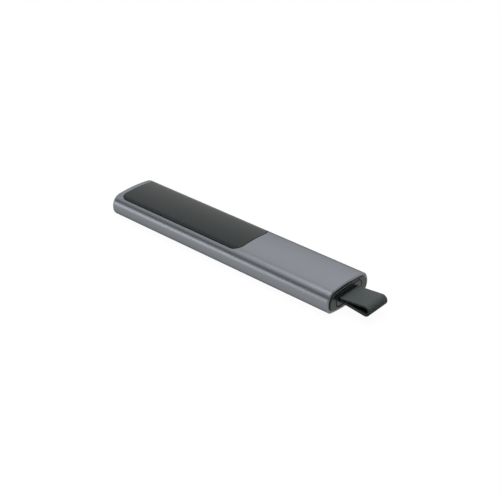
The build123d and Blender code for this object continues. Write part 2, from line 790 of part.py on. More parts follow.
with BuildPart() as receiver_chip:
    with BuildSketch(Plane(origin=(receiver_board_middle, 0, bay_height))):
        Rectangle(receiver_chip_size, receiver_chip_size)
    extrude(amount=receiver_chip_height)
keep(receiver_chip.part, "receiver_chip")

# ---- Pull tab: one soft band, doubled into a loop ----------------------------
root_x = front_x + anchor_start + tab_anchor_length / 2
face_x = front_x + tail_face
fold_radius = tab_fold_height / 2
fold_core = fold_radius - tab_thickness
fold_x = face_x + tab_reach - fold_radius
fold_level = tab_level - tab_drop
root_top = tab_level + tab_root_height / 2
root_bottom = tab_level - tab_root_height / 2


def fold_tangent(start, radius, side):
    """Point where a line from start touches a circle round the fold, above (1) or below (-1)."""
    run = fold_x - start[0]
    rise = fold_level - start[1]
    slope = math.atan2(rise, run) + side * math.asin(radius / math.hypot(run, rise))
    return (fold_x - side * radius * math.sin(slope), fold_level + side * radius * math.cos(slope))


with BuildPart() as pull_tab:
    with BuildSketch(Plane.XZ):
        with BuildLine():
            top_face = (face_x, root_top)
            bottom_face = (face_x, root_bottom)
            upper = fold_tangent(top_face, fold_radius, 1)
            lower = fold_tangent(bottom_face, fold_radius, -1)
            Polyline(lower, bottom_face, (root_x, root_bottom), (root_x, root_top), top_face, upper)
            ThreePointArc(upper, (fold_x + fold_radius, fold_level), lower)
        make_face()
    extrude(amount=tab_width / 2, both=True)
    with BuildSketch(Plane.XZ):
        with BuildLine():
            parting = (face_x + tab_parting, tab_level)
            upper = fold_tangent(parting, fold_core, 1)
            lower = fold_tangent(parting, fold_core, -1)
            Polyline(lower, parting, upper)
            ThreePointArc(upper, (fold_x + fold_core, fold_level), lower)
        make_face()
    extrude(amount=tab_width, both=True, mode=Mode.SUBTRACT)
    with BuildSketch(Plane.YZ.offset(front_x + anchor_start)):
        with Locations((0, tab_level)):
            Rectangle(tab_anchor_width, tab_anchor_height)
    extrude(amount=tab_anchor_length)
keep(pull_tab.part, "pull_tab")
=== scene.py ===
"""Finished look of a wireless presentation clicker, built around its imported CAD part.

Lengths are metres. +X runs from the closed front end to the tail, +Y across, +Z up.
Flat patterns use (x, distance round the body's section, depth under its skin).
"""

import json
import logging
import math
from dataclasses import dataclass, field
from enum import Enum
from typing import Iterable, Sequence

import bmesh
import bpy
import numpy as np
from mathutils import Euler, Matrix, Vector
from mathutils.geometry import delaunay_2d_cdt


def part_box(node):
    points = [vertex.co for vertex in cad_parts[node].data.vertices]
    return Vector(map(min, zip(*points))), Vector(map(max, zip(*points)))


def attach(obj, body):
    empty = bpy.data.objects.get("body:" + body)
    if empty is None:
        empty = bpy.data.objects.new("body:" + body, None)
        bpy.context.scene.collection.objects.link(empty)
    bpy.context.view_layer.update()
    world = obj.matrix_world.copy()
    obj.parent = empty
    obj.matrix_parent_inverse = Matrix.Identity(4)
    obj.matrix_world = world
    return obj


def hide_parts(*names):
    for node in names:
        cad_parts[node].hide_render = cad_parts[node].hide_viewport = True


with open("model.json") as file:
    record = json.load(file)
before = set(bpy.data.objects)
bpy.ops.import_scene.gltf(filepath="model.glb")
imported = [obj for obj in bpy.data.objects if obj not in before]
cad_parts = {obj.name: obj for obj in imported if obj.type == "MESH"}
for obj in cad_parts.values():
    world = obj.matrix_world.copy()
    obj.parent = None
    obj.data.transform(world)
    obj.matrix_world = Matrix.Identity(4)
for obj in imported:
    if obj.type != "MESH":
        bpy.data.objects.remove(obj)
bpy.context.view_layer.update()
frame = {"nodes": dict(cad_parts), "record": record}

LOG = logging.getLogger("clicker")
MM = 0.001
WELD = 0.002 * MM
SLIVER = 1e-5  # least area of a filled triangle, in square millimetres
FILL_TOLERANCE = 1e-5  # distance within which a filled outline's points are one, in millimetres
SPOT_CLEARANCE = 0.3 * MM  # least distance of a filling point from an edge
CORNERS = ((-1, -1), (1, -1), (1, 1), (-1, 1))
PLAIN, DRAWN = (1.0, 1.0, 1.0), (0.04, 1.0, 1.0)  # how a relief is stretched along X, Y and Z
WEAVE_DISTORTION = 0.6
PIT_DETAIL, PIT_ROUGHNESS = 3.0, 0.6
TONE_DETAIL = 4.0
RELIEF_STRENGTH = 0.5
Colour = tuple[float, float, float]


# ---------------------------------------------------------------------------
# Nodes
# ---------------------------------------------------------------------------
def feed(node: bpy.types.Node, sources: dict[str | int, object]) -> None:
    """Link or set a node's inputs.

    Args:
        node: The node.
        sources: Output socket or plain value for each input, by name or number.
    """
    for label, source in sources.items():
        if isinstance(source, bpy.types.NodeSocket):
            node.id_data.links.new(source, node.inputs[label])
        else:
            node.inputs[label].default_value = source


def add_node(
    tree: bpy.types.NodeTree,
    kind: str,
    sources: dict[str | int, object] | None = None,
    **settings: object,
) -> bpy.types.Node:
    """Add a node, with its settings, values and links.

    Args:
        tree: The tree that takes it.
        kind: The node's type.
        sources: Output socket or plain value for each input, by name or number.
        settings: The node's own properties.

    Returns:
        The node.
    """
    node = tree.nodes.new(kind)
    for label, value in settings.items():
        setattr(node, label, value)
    feed(node, sources or {})
    return node


# ---------------------------------------------------------------------------
# Finishes
# ---------------------------------------------------------------------------
def from_screen(red: int, green: int, blue: int) -> Colour:
    """Linear colour of an 8-bit screen colour, by the sRGB curve.

    Args:
        red: Red from 0 to 255.
        green: Green from 0 to 255.
        blue: Blue from 0 to 255.

    Returns:
        The linear red, green and blue.
    """
    linear = [
        part / 12.92 if part <= 0.04045 else ((part + 0.055) / 1.055) ** 2.4
        for part in (red / 255, green / 255, blue / 255)
    ]
    return linear[0], linear[1], linear[2]


class Grain(Enum):
    """How a surface's fine relief is laid out."""

    BLASTED = "blasted"  # fine even pits, as bead blasting leaves
    MOULDED = "moulded"  # soft pebbles, as a textured mould leaves
    DRAWN = "drawn"  # lines along X, as drawn or rolled sheet has
    WOVEN = "woven"  # crossed threads under solder mask or in tape


@dataclass(frozen=True)
class Finish:
    """One surface finish, with its colour, gloss and fine relief."""

    name: str
    colour: Colour
    metallic: float = 0.0
    roughness: float = 0.5
    grain: Grain = Grain.MOULDED
    grain_size: float = 0.3 * MM
    relief: float = 0.01 * MM
    tone_spread: float = 0.06
    tone_size: float = 9.0 * MM
    gloss_spread: float = 0.06
    specular: float = 0.5
    edge_tint: float = 1.0
    coat: float = 0.0
    coat_roughness: float = 0.1
    transmission: float = 0.0

    def _pattern(
        self, tree: bpy.types.NodeTree, place: bpy.types.NodeSocket
    ) -> bpy.types.NodeSocket:
        """Height pattern of the fine relief.

        Args:
            tree: The material's tree.
            place: Socket that gives the object coordinates.

        Returns:
            The socket of the height.
        """
        scale = DRAWN if self.grain is Grain.DRAWN else PLAIN
        stretch = add_node(tree, "ShaderNodeMapping", {"Vector": place, "Scale": scale})
        values = {"Vector": stretch.outputs["Vector"], "Scale": 1 / self.grain_size}
        if self.grain is Grain.WOVEN:
            values["Scale"] = 1 / (self.grain_size * 2 * math.pi)
            values["Distortion"] = WEAVE_DISTORTION
            waves = [
                add_node(tree, "ShaderNodeTexWave", values, bands_direction=way).outputs["Fac"]
                for way in ("X", "Y")
            ]
            crossed = add_node(tree, "ShaderNodeMath", dict(enumerate(waves)), operation="MAXIMUM")
            return crossed.outputs["Value"]
        if self.grain is Grain.MOULDED:
            pebbles = add_node(tree, "ShaderNodeTexVoronoi", values, feature="SMOOTH_F1")
            return pebbles.outputs["Distance"]
        values.update({"Detail": PIT_DETAIL, "Roughness": PIT_ROUGHNESS})
        return add_node(tree, "ShaderNodeTexNoise", values).outputs["Fac"]

    def material(self) -> bpy.types.Material:
        """The finish as a node material, made once.

        Returns:
            The material.
        """
        title = f"finish_{self.name}"
        found = bpy.data.materials.get(title)
        if found is not None:
            return found
        material = bpy.data.materials.new(title)
        material.use_nodes = True
        tree = material.node_tree
        place = add_node(tree, "ShaderNodeTexCoord").outputs["Object"]

        clouds = add_node(
            tree,
            "ShaderNodeTexNoise",
            {"Vector": place, "Scale": 1 / self.tone_size, "Detail": TONE_DETAIL},
        )
        light = tuple(min(1.0, part * (1 + self.tone_spread)) for part in self.colour)
        dark = tuple(part * (1 - self.tone_spread) for part in self.colour)
        tone = add_node(
            tree,
            "ShaderNodeMix",
            {"Factor": clouds.outputs["Fac"], "A": (*dark, 1.0), "B": (*light, 1.0)},
            data_type="RGBA",
        )

        height = self._pattern(tree, place)
        gloss = add_node(
            tree,
            "ShaderNodeMapRange",
            {
                "Value": height,
                "To Min": self.roughness - self.gloss_spread / 2,
                "To Max": self.roughness + self.gloss_spread / 2,
            },
        )
        bump = add_node(
            tree,
            "ShaderNodeBump",
            {"Height": height, "Strength": RELIEF_STRENGTH, "Distance": self.relief},
        )
        values = {
            "Base Color": tone.outputs["Result"],
            "Metallic": self.metallic,
            "Roughness": gloss.outputs["Result"],
            "Specular IOR Level": self.specular,
            "Specular Tint": (*(self.edge_tint,) * 3, 1.0),
            "Coat Weight": self.coat,
            "Coat Roughness": self.coat_roughness,
            "Transmission Weight": self.transmission,
            "Normal": bump.outputs["Normal"],
        }
        feed(tree.nodes["Principled BSDF"], values)
        return material


ANODISED = Finish(
    "anodised_aluminium", from_screen(126, 129, 134), metallic=1.0, roughness=0.34, edge_tint=0.35,
    grain=Grain.BLASTED, grain_size=0.12 * MM, relief=0.0025 * MM, tone_spread=0.02,
    gloss_spread=0.05,
)  # fmt: skip
BUTTON_METAL = Finish(
    "button_aluminium", from_screen(130, 133, 138), metallic=1.0, roughness=0.32, edge_tint=0.35,
    grain=Grain.BLASTED, grain_size=0.1 * MM, relief=0.003 * MM, tone_spread=0.02,
    gloss_spread=0.05,
)  # fmt: skip
PANEL_PLASTIC = Finish(
    "panel_plastic", from_screen(43, 47, 47), roughness=0.22, grain=Grain.MOULDED,
    grain_size=0.16 * MM, relief=0.002 * MM, tone_spread=0.03, specular=0.08,
)  # fmt: skip
CAP_PLASTIC = Finish(
    "cap_plastic", from_screen(38, 42, 43), roughness=0.3, grain=Grain.MOULDED,
    grain_size=0.2 * MM, relief=0.003 * MM, tone_spread=0.05, specular=0.36,
)  # fmt: skip
RECEIVER_PLASTIC = Finish(
    "receiver_plastic", from_screen(31, 35, 36), roughness=0.3, grain=Grain.MOULDED,
    grain_size=0.18 * MM, relief=0.003 * MM, tone_spread=0.05, specular=0.36,
)  # fmt: skip
TAB_RUBBER = Finish(
    "tab_rubber", from_screen(71, 76, 77), roughness=0.5, grain=Grain.MOULDED,
    grain_size=0.25 * MM, relief=0.004 * MM, tone_spread=0.04, specular=0.08,
)  # fmt: skip
SEAL_RUBBER = Finish("seal_rubber", from_screen(52, 53, 55), roughness=0.75, relief=0.015 * MM)
INNER_PLASTIC = Finish("inner_plastic", from_screen(58, 60, 62), roughness=0.55)
WHITE_PLASTIC = Finish("white_plastic", from_screen(214, 212, 204), roughness=0.45)
NYLON = Finish("connector_nylon", from_screen(228, 222, 205), roughness=0.5)
STEEL = Finish(
    "stamped_steel", from_screen(196, 197, 199), metallic=1.0, roughness=0.27,
    grain=Grain.DRAWN, grain_size=0.08 * MM, relief=0.003 * MM, tone_spread=0.04,
)  # fmt: skip
GOLD = Finish(
    "contact_gold", from_screen(222, 182, 98), metallic=1.0, roughness=0.24,
    grain=Grain.DRAWN, grain_size=0.06 * MM, relief=0.002 * MM,
)  # fmt: skip
LAMINATE = Finish(
    "board_laminate", from_screen(22, 74, 48), roughness=0.35, grain=Grain.WOVEN,
    grain_size=0.25 * MM, relief=0.01 * MM, tone_spread=0.12, tone_size=2.5 * MM, coat=0.3,
)  # fmt: skip
EPOXY = Finish("chip_epoxy", from_screen(34, 34, 36), roughness=0.55, grain=Grain.BLASTED)
FOAM = Finish(
    "foam_tape", from_screen(17, 18, 20), roughness=0.9, grain=Grain.BLASTED, relief=0.03 * MM,
)  # fmt: skip
FOIL = Finish(
    "cell_foil", from_screen(188, 190, 192), metallic=0.9, roughness=0.33, grain=Grain.DRAWN,
    grain_size=0.3 * MM, relief=0.01 * MM, tone_spread=0.08, tone_size=4 * MM,
)  # fmt: skip
INSULATION = Finish("lead_insulation", from_screen(158, 34, 30), roughness=0.42)
CLEAR = Finish(
    "light_clear", from_screen(232, 236, 238), roughness=0.18, transmission=0.85,
    grain=Grain.BLASTED, relief=0.002 * MM, tone_spread=0.01,
)  # fmt: skip

SLOT_FINISHES: dict[str, Finish] = {
    "shell_aluminium": ANODISED,
    "button_aluminium": BUTTON_METAL,
    "panel_plastic": PANEL_PLASTIC,
    "cap_plastic": CAP_PLASTIC,
    "inner_plastic": INNER_PLASTIC,
    "receiver_plastic": RECEIVER_PLASTIC,
    "tab_rubber": TAB_RUBBER,
    "seal_rubber": SEAL_RUBBER,
    "foam_tape": FOAM,
    "steel": STEEL,
    "contact_gold": GOLD,
    "board_laminate": LAMINATE,
    "chip_epoxy": EPOXY,
    "connector_nylon": NYLON,
    "light_clear": CLEAR,
    "cell_foil": FOIL,
    "lead_insulation": INSULATION,
    "white_plastic": WHITE_PLASTIC,
}


# ---------------------------------------------------------------------------
# The body's section and the outlines cut in it
# ---------------------------------------------------------------------------
@dataclass
class BodySection:
    """The body's cross-section: tangent arcs, read round from the +Y side over the back."""

    low: Vector
    high: Vector
    widest: float = 5.8 * MM
    crown_angle: float = 7.0
    shoulder_angle: float = 66.0
    shoulder_radius: float = 5.5 * MM
    base_angle: float = 10.5
    corner_angle: float = 79.0
    corner_radius: float = 4.25 * MM
    arc_step: float = 1.2 * MM
    turn_step: float = 2.5
    fineness: int = 6
    along: np.ndarray = field(init=False)
    skin: np.ndarray = field(init=False)
    outward: np.ndarray = field(init=False)

    def __post_init__(self) -> None:
        """Work out the fine table of the section."""
        turns = self._turns()
        fine = np.concatenate(
            [np.linspace(a, b, self.fineness, endpoint=False) for a, b in zip(turns, turns[1:])]
            + [turns[-1:]]
        )
        radians = np.radians(fine)
        self.outward = np.stack([np.cos(radians), np.sin(radians)], axis=1)
        self.skin = np.array([self._point(turn) for turn in fine])
        steps = np.linalg.norm(np.diff(self.skin, axis=0), axis=1)
        self.along = np.concatenate([[0.0], np.cumsum(steps)])

    @property
    def half_width(self) -> float:
        """Half of the body's width."""
        return (self.high.y - self.low.y) / 2

    @property
    def rows(self) -> np.ndarray:
        """Distances round the section at which skins have a row of points."""
        return self.along[:: self.fineness]

    def _quarter(self, upper: bool) -> tuple[float, float, float, float, float, float]:
        """Sizes of an upper or lower quarter.

        Args:
            upper: True for the back, False for the button face.

        Returns:
            Height, first angle, second angle, crown radius, middle radius and side radius.
        """
        if upper:
            height, first, second = self.high.z - self.widest, self.crown_angle, self.shoulder_angle
            middle = self.shoulder_radius
        else:
            height, first, second = self.widest - self.low.z, self.base_angle, self.corner_angle
            middle = self.corner_radius
        a, b = math.radians(first), math.radians(second)
        reach = self.half_width - middle * (math.sin(b) - math.sin(a))
        rise = height - middle * (math.cos(a) - math.cos(b))
        scale = math.sin(a) * math.cos(b) - (1 - math.sin(b)) * (1 - math.cos(a))
        crown = (reach * math.cos(b) - (1 - math.sin(b)) * rise) / scale
        side = (math.sin(a) * rise - (1 - math.cos(a)) * reach) / scale
        return height, first, second, crown, middle, side

    def _turns(self) -> np.ndarray:
        """Normal directions of the rows.

        Returns:
            Degrees from +Y over the back.
        """
        marks: list[float] = []
        for upper in (True, False):
            _, first, second, crown, middle, side = self._quarter(upper)
            arcs = ((90 - second, side), (second - first, middle), (2 * first, crown))
            arcs = (*arcs, arcs[1], arcs[0])
            start = 0.0 if upper else 180.0
            for sweep, radius in arcs:
                length = math.radians(sweep) * radius
                count = max(math.ceil(length / self.arc_step), math.ceil(sweep / self.turn_step))
                marks.extend(np.linspace(start, start + sweep, count, endpoint=False))
                start += sweep
        return np.array([*marks, 360.0])

    def _point(self, turn: float) -> tuple[float, float]:
        """Point of the skin whose outward direction is at a turn from +Y.

        Args:
            turn: Degrees from +Y over the back.

        Returns:
            Its Y and Z.
        """
        across, up = math.cos(math.radians(turn)), math.sin(math.radians(turn))
        upper = up >= 0
        hand = 1 if across >= 0 else -1
        sign = 1 if upper else -1
        height, first, second, crown, middle, side = self._quarter(upper)
        lean = math.degrees(math.asin(min(1.0, abs(across))))
        if lean <= first:
            centre = (0.0, height - crown)
            radius = crown
        elif lean <= second:
            a, gap = math.radians(first), crown - middle
            centre = (gap * math.sin(a), height - crown + gap * math.cos(a))
            radius = middle
        else:
            centre = (self.half_width - side, 0.0)
            radius = side
        return hand * centre[0] + radius * across, self.widest + sign * centre[1] + radius * up

    def _half(self, depth: float, upper: bool) -> tuple[np.ndarray, np.ndarray]:
        """One half of the section under the skin, in the order of Y.

        Args:
            depth: Depth under the skin.
            upper: True for the back, False for the button face.

        Returns:
            Its points, and their distances round the section.
        """
        half = len(self.along) // 2
        part = slice(0, half + 1) if upper else slice(half, None)
        points = self.skin[part] - depth * self.outward[part]
        order = np.argsort(points[:, 0])
        return points[order], self.along[part][order]

    def strip(self, across: np.ndarray, depth: float, upper: bool) -> np.ndarray:
        """Distance round the section of points given by their Y, as _half takes them."""
        points, along = self._half(depth, upper)
        return np.interp(across, points[:, 0], along)

    def level(self, across: np.ndarray, depth: float, upper: bool) -> np.ndarray:
        """Height of points given by their Y, as _half takes them."""
        points, _ = self._half(depth, upper)
        return np.interp(across, points[:, 0], points[:, 1])

    def ring(self, x: float, depth: float) -> np.ndarray:
        """The section at one X and depth as a closed ring of points.

        Args:
            x: Where along the body.
            depth: Depth under the skin.

        Returns:
            Points, one per row, without the closing one.
        """
        inset = (self.skin - depth * self.outward)[:: self.fineness][:-1]
        return np.column_stack([np.full(len(inset), x), inset])

    def curve_object(self) -> bpy.types.Object:
        """The fine section as a closed path in the YZ plane."""
        return polyline("section_path", [(0.0, y, z) for y, z in self.skin[:-1]], closed=True)


@dataclass(frozen=True)
class RoundedRectangle:
    """Outline with straight sides and round corners, walked from its +first side."""

    middle: tuple[float, float]
    length: float
    width: float
    radius: float
    straight_step: float = 1.5 * MM
    corner_turn: float = 6.0

    def points(self, inset: float = 0.0) -> np.ndarray:
        """Points of the outline.

        Args:
            inset: How far the outline is drawn in. Negative draws it out.

        Returns:
            Points as pairs. The count doesn't depend on the inset.
        """
        corner_count = math.ceil(90 / self.corner_turn)
        found: list[tuple[float, float]] = []
        half = (self.length / 2 - self.radius, self.width / 2 - self.radius)
        sides = (2 * half[1], 2 * half[0])
        radius = self.radius - inset
        for corner, (sx, sy) in enumerate(((1, 1), (-1, 1), (-1, -1), (1, -1))):
            centre = (self.middle[0] + sx * half[0], self.middle[1] + sy * half[1])
            for turn in np.linspace(corner * 90, corner * 90 + 90, corner_count + 1):
                angle = math.radians(turn)
                ahead, aside = radius * math.cos(angle), radius * math.sin(angle)
                found.append((centre[0] + ahead, centre[1] + aside))
            run = sides[(corner + 1) % 2]
            count = max(1, round(run / self.straight_step))
            way = ((-1, 0), (0, -1), (1, 0), (0, 1))[corner]
            step = (way[0] * run / count, way[1] * run / count)
            last = found[-1]
            found.extend((last[0] + step[0] * k, last[1] + step[1] * k) for k in range(1, count))
        return np.array(found)


def circle(middle: tuple[float, float], radius: float, count: int) -> np.ndarray:
    """Points of a circle.

    Args:
        middle: Its centre.
        radius: Its radius.
        count: How many points.

    Returns:
        Points as pairs.
    """
    turns = np.linspace(0, 2 * math.pi, count, endpoint=False)
    return np.column_stack([middle[0] + radius * np.cos(turns), middle[1] + radius * np.sin(turns)])


def rounding(radius: float, count: int = 3) -> list[tuple[float, float]]:
    """Steps of a rounded edge.

    Args:
        radius: The edge's radius.
        count: Number of faces round the edge.

    Returns:
        Pairs of the way left to the wall and the depth, from the skin to the wall.
    """
    turns = np.linspace(0, math.pi / 2, count + 1)
    return [(radius * (1 - math.sin(turn)), radius * (1 - math.cos(turn))) for turn in turns]


def chamfering(cut: tuple[float, float], soft: float, near: float) -> list[tuple[float, float]]:
    """Steps of a flat chamfer whose two bends are softened.

    Args:
        cut: The chamfer's width and depth.
        soft: How far each bend reaches along its two faces.
        near: Distance from a bend to the steps that keep its faces flat.

    Returns:
        Pairs of the way left to the wall and the depth, from the skin to the wall.
    """
    width, depth = cut
    across, down = (side / math.hypot(width, depth) for side in cut)
    steps = [(width + soft + near, 0.0), (width + soft, 0.0)]
    steps += [(width - way * across, way * down) for way in (soft, soft + near)]
    steps += [(way * across, depth - way * down) for way in (soft + near, soft)]
    return steps + [(0.0, depth + soft), (0.0, depth + soft + near)]


# ---------------------------------------------------------------------------
# Mesh drafting
# ---------------------------------------------------------------------------
def link_object(name: str, data: bpy.types.ID) -> bpy.types.Object:
    """A new object in the scene.

    Args:
        name: The object's name.
        data: Its mesh, curve or lamp.

    Returns:
        The object.
    """
    item = bpy.data.objects.new(name, data)
    bpy.context.scene.collection.objects.link(item)
    return item


def polyline(
    name: str, places: Sequence[tuple[float, float, float]], closed: bool = False
) -> bpy.types.Object:
    """A path of straight steps.

    Args:
        name: The path's name.
        places: Its points.
        closed: True if the last point joins the first.

    Returns:
        The curve object.
    """
    curve = bpy.data.curves.new(name, "CURVE")
    curve.dimensions = "3D"
    spline = curve.splines.new("POLY")
    spline.points.add(len(places) - 1)
    for point, place in zip(spline.points, places):
        point.co = (*place, 1.0)
    spline.use_cyclic_u = closed
    return link_object(name, curve)


def inside(points: np.ndarray, outline: np.ndarray) -> np.ndarray:
    """Which points lie inside a closed outline.

    Args:
        points: Points as pairs.
        outline: The outline's points, in order.

    Returns:
        One truth value per point.
    """
    x, y = points[:, 0:1], points[:, 1:2]
    ax, ay = outline[:, 0], outline[:, 1]
    bx, by = np.roll(ax, -1), np.roll(ay, -1)
    spans = (ay > y) != (by > y)
    rise = np.where(by == ay, 1.0, by - ay)
    crossing = spans & (x < (bx - ax) * (y - ay) / rise + ax)
    return crossing.sum(axis=1) % 2 == 1


class MeshDraft:
    """Rings of points and the faces between them."""

    def __init__(self) -> None:
        """Start with no points."""
        self.points: list[tuple[float, ...]] = []
        self.faces: list[list[int]] = []

    def ring(self, points: Iterable[Sequence[float]]) -> list[int]:
        """Add points.

        Args:
            points: Points as triples.

        Returns:
            Their numbers.
        """
        start = len(self.points)
        self.points.extend(tuple(float(part) for part in point) for point in points)
        return list(range(start, len(self.points)))

    def flat_ring(self, flat: np.ndarray, third: float) -> list[int]:
        """Add points given as pairs, all with the same third coordinate."""
        return self.ring(np.column_stack([flat, np.full(len(flat), third)]))

    def bridge(self, first: list[int], second: list[int], closed: bool = True) -> None:
        """Faces between two rings of as many points.

        Args:
            first: One ring.
            second: The other ring.
            closed: True if the last point joins the first.
        """
        count = len(first)
        for k in range(count if closed else count - 1):
            after = (k + 1) % count
            self.faces.append([first[k], first[after], second[after], second[k]])

    def stack(self, rings: Sequence[list[int]], closed: bool = True) -> None:
        """Faces between each ring and the next."""
        for first, second in zip(rings, rings[1:]):
            self.bridge(first, second, closed)

    def fill(
        self,
        axes: tuple[int, int],
        outline: list[int],
        holes: Sequence[list[int]] = (),
        spots: Sequence[int] = (),
    ) -> None:
        """Triangles inside an outline and outside its holes.

        Args:
            axes: The two coordinates that the face spreads along.
            outline: Ring round the face.
            holes: Rings round its holes.
            spots: Points inside the face.
        """
        loops = [outline, *holes]
        numbers = [number for loop in loops for number in loop] + list(spots)
        table = np.array([[self.points[n][axes[0]], self.points[n][axes[1]]] for n in numbers]) / MM
        edges: list[tuple[int, int]] = []
        rims: list[np.ndarray] = []
        start = 0
        for loop in loops:
            count = len(loop)
            edges.extend((start + k, start + (k + 1) % count) for k in range(count))
            rims.append(table[start : start + count])
            start += count
        vectors = [Vector(pair) for pair in table]
        corners, _, faces, origins, _, _ = delaunay_2d_cdt(vectors, edges, [], 0, FILL_TOLERANCE)
        flat = np.array([tuple(corner) for corner in corners])
        corners_of = flat[np.array(faces)]
        middles = corners_of.mean(axis=1)
        sides = corners_of[:, 1:] - corners_of[:, :1]
        areas = np.abs(sides[:, 0, 0] * sides[:, 1, 1] - sides[:, 0, 1] * sides[:, 1, 0]) / 2
        kept = inside(middles, rims[0]) & (areas > SLIVER)
        for rim in rims[1:]:
            kept &= ~inside(middles, rim)
        for face, keep in zip(faces, kept):
            if keep:
                self.faces.append([numbers[origins[corner][0]] for corner in face])

    def mesh(self, name: str) -> bpy.types.Mesh:
        """The draft as a mesh.

        Args:
            name: The mesh's name.

        Returns:
            The mesh.
        """
        mesh = bpy.data.meshes.new(name)
        mesh.from_pydata(self.points, [], self.faces)
        return mesh


def settle(mesh: bpy.types.Mesh, crease: float = 38.0) -> None:
    """Merge doubles, turn faces outwards and mark the sharp edges.

    Args:
        mesh: The mesh to finish.
        crease: Edges that turn more than this many degrees stay sharp.
    """
    work = bmesh.new()
    work.from_mesh(mesh)
    bmesh.ops.remove_doubles(work, verts=work.verts, dist=WELD)
    bmesh.ops.recalc_face_normals(work, faces=work.faces)
    if work.calc_volume(signed=True) < 0:
        bmesh.ops.reverse_faces(work, faces=work.faces)
    open_edges = sum(1 for edge in work.edges if not edge.is_manifold)
    if open_edges:
        LOG.warning("%s has %d open edges", mesh.name, open_edges)
    work.to_mesh(mesh)
    work.free()
    mesh.shade_smooth()
    mesh.set_sharp_from_angle(angle=math.radians(crease))


def solid(draft: MeshDraft, name: str, finish: Finish) -> bpy.types.Object:
    """A drafted closed piece as an object.

    Args:
        draft: Its points and faces.
        name: The piece's name.
        finish: Its finish.

    Returns:
        The object.
    """
    mesh = draft.mesh(name)
    mesh.materials.append(finish.material())
    settle(mesh)
    return link_object(name, mesh)


def fit(piece: bpy.types.Object, body: str, slot: str, *nodes: str) -> None:
    """Hang a finished piece on its body in place of its CAD nodes.

    Args:
        piece: The piece.
        body: The body it moves with.
        slot: The record's material slot of its finish; not used.
        nodes: CAD nodes that it stands for.
    """
    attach(piece, body)
    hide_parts(*nodes)
    faces = len(piece.data.polygons)
    LOG.info("%s: %d faces on %s, for %s", piece.name, faces, body, ", ".join(nodes))


# ---------------------------------------------------------------------------
# Geometry Nodes
# ---------------------------------------------------------------------------
class NodeRecipe:
    """A Geometry Nodes tree with named inputs, ending in Realize Instances and Set Material."""

    def __init__(self, name: str, inputs: dict[str, str]) -> None:
        """Make the tree and its sockets.

        Args:
            name: The tree's name.
            inputs: Socket type of each named input.
        """
        self.tree = bpy.data.node_groups.new(name, "GeometryNodeTree")
        face = self.tree.interface
        kinds = {"Geometry": "NodeSocketGeometry", **inputs, "Finish": "NodeSocketMaterial"}
        self.sockets = {
            label: face.new_socket(label, in_out="INPUT", socket_type=kind)
            for label, kind in kinds.items()
        }
        face.new_socket("Geometry", in_out="OUTPUT", socket_type="NodeSocketGeometry")
        self.given = self.tree.nodes.new("NodeGroupInput").outputs

    def node(
        self, kind: str, sources: dict[str | int, object] | None = None, **settings: object
    ) -> bpy.types.Node:
        """Add a node to the tree, as add_node does."""
        return add_node(self.tree, kind, sources, **settings)

    def finish(self, geometry: bpy.types.NodeSocket) -> None:
        """Close the tree: smooth, realise, paint and put out.

        Args:
            geometry: The geometry to put out.
        """
        smooth = self.node("GeometryNodeSetShadeSmooth", {"Geometry": geometry})
        real = self.node("GeometryNodeRealizeInstances", {"Geometry": smooth.outputs["Geometry"]})
        paint = self.node(
            "GeometryNodeSetMaterial",
            {"Geometry": real.outputs["Geometry"], "Material": self.given["Finish"]},
        )
        self.node("NodeGroupOutput", {0: paint.outputs["Geometry"]})

    def vector(self, operation: str, first: object, second: object = None) -> bpy.types.NodeSocket:
        """Output of a vector sum, product or normal of one or two values."""
        sources = {0: first} if second is None else {0: first, 1: second}
        return self.node("ShaderNodeVectorMath", sources, operation=operation).outputs["Vector"]

    def grow(
        self, name: str, source: bpy.types.Mesh, values: dict[str, object], finish: Finish
    ) -> bpy.types.Object:
        """Run the tree on a mesh and keep the result as a plain object.

        Args:
            name: The piece's name.
            source: The mesh that goes in.
            values: Value of each named input.
            finish: The finish.

        Returns:
            The object, with no modifier.
        """
        host = link_object(f"{name}_host", source)
        modifier = host.modifiers.new("recipe", "NODES")
        modifier.node_group = self.tree
        for label, value in {**values, "Finish": finish.material()}.items():
            modifier[self.sockets[label].identifier] = value
        graph = bpy.context.evaluated_depsgraph_get()
        mesh = bpy.data.meshes.new_from_object(host.evaluated_get(graph), depsgraph=graph)
        mesh.name = name
        host.modifiers.remove(modifier)
        bpy.data.objects.remove(host)
        settle(mesh)
        return link_object(name, mesh)


class WrapRecipe(NodeRecipe):
    """Wraps a flat pattern round the body's section."""

    def __init__(self) -> None:
        """Build the tree."""
        inputs = {"Section": "NodeSocketObject", "Weld": "NodeSocketFloat"}
        super().__init__("wrap_round_section", inputs)
        path = self.node("GeometryNodeObjectInfo", {"Object": self.given["Section"]})
        place = self.node("GeometryNodeInputPosition")
        parts = self.node("ShaderNodeSeparateXYZ", {"Vector": place.outputs["Position"]})
        walk = self.node(
            "GeometryNodeSampleCurve",
            {"Curves": path.outputs["Geometry"], "Length": parts.outputs["Y"]},
            mode="LENGTH",
        )
        outward = self.vector("CROSS_PRODUCT", walk.outputs["Tangent"], (1.0, 0.0, 0.0))
        inward = self.node("ShaderNodeMath", {0: parts.outputs["Z"], 1: -1.0}, operation="MULTIPLY")
        shift = self.node(
            "ShaderNodeVectorMath",
            {0: self.vector("NORMALIZE", outward), "Scale": inward.outputs["Value"]},
            operation="SCALE",
        )
        ahead = self.node("ShaderNodeCombineXYZ", {"X": parts.outputs["X"]})
        on_skin = self.vector("ADD", walk.outputs["Position"], ahead.outputs["Vector"])
        wrapped = self.vector("ADD", on_skin, shift.outputs["Vector"])
        moved = self.node(
            "GeometryNodeSetPosition",
            {"Geometry": self.given["Geometry"], "Position": wrapped},
        )
        welded = self.node(
            "GeometryNodeMergeByDistance",
            {"Geometry": moved.outputs["Geometry"], "Distance": self.given["Weld"]},
        )
        self.finish(welded.outputs["Geometry"])


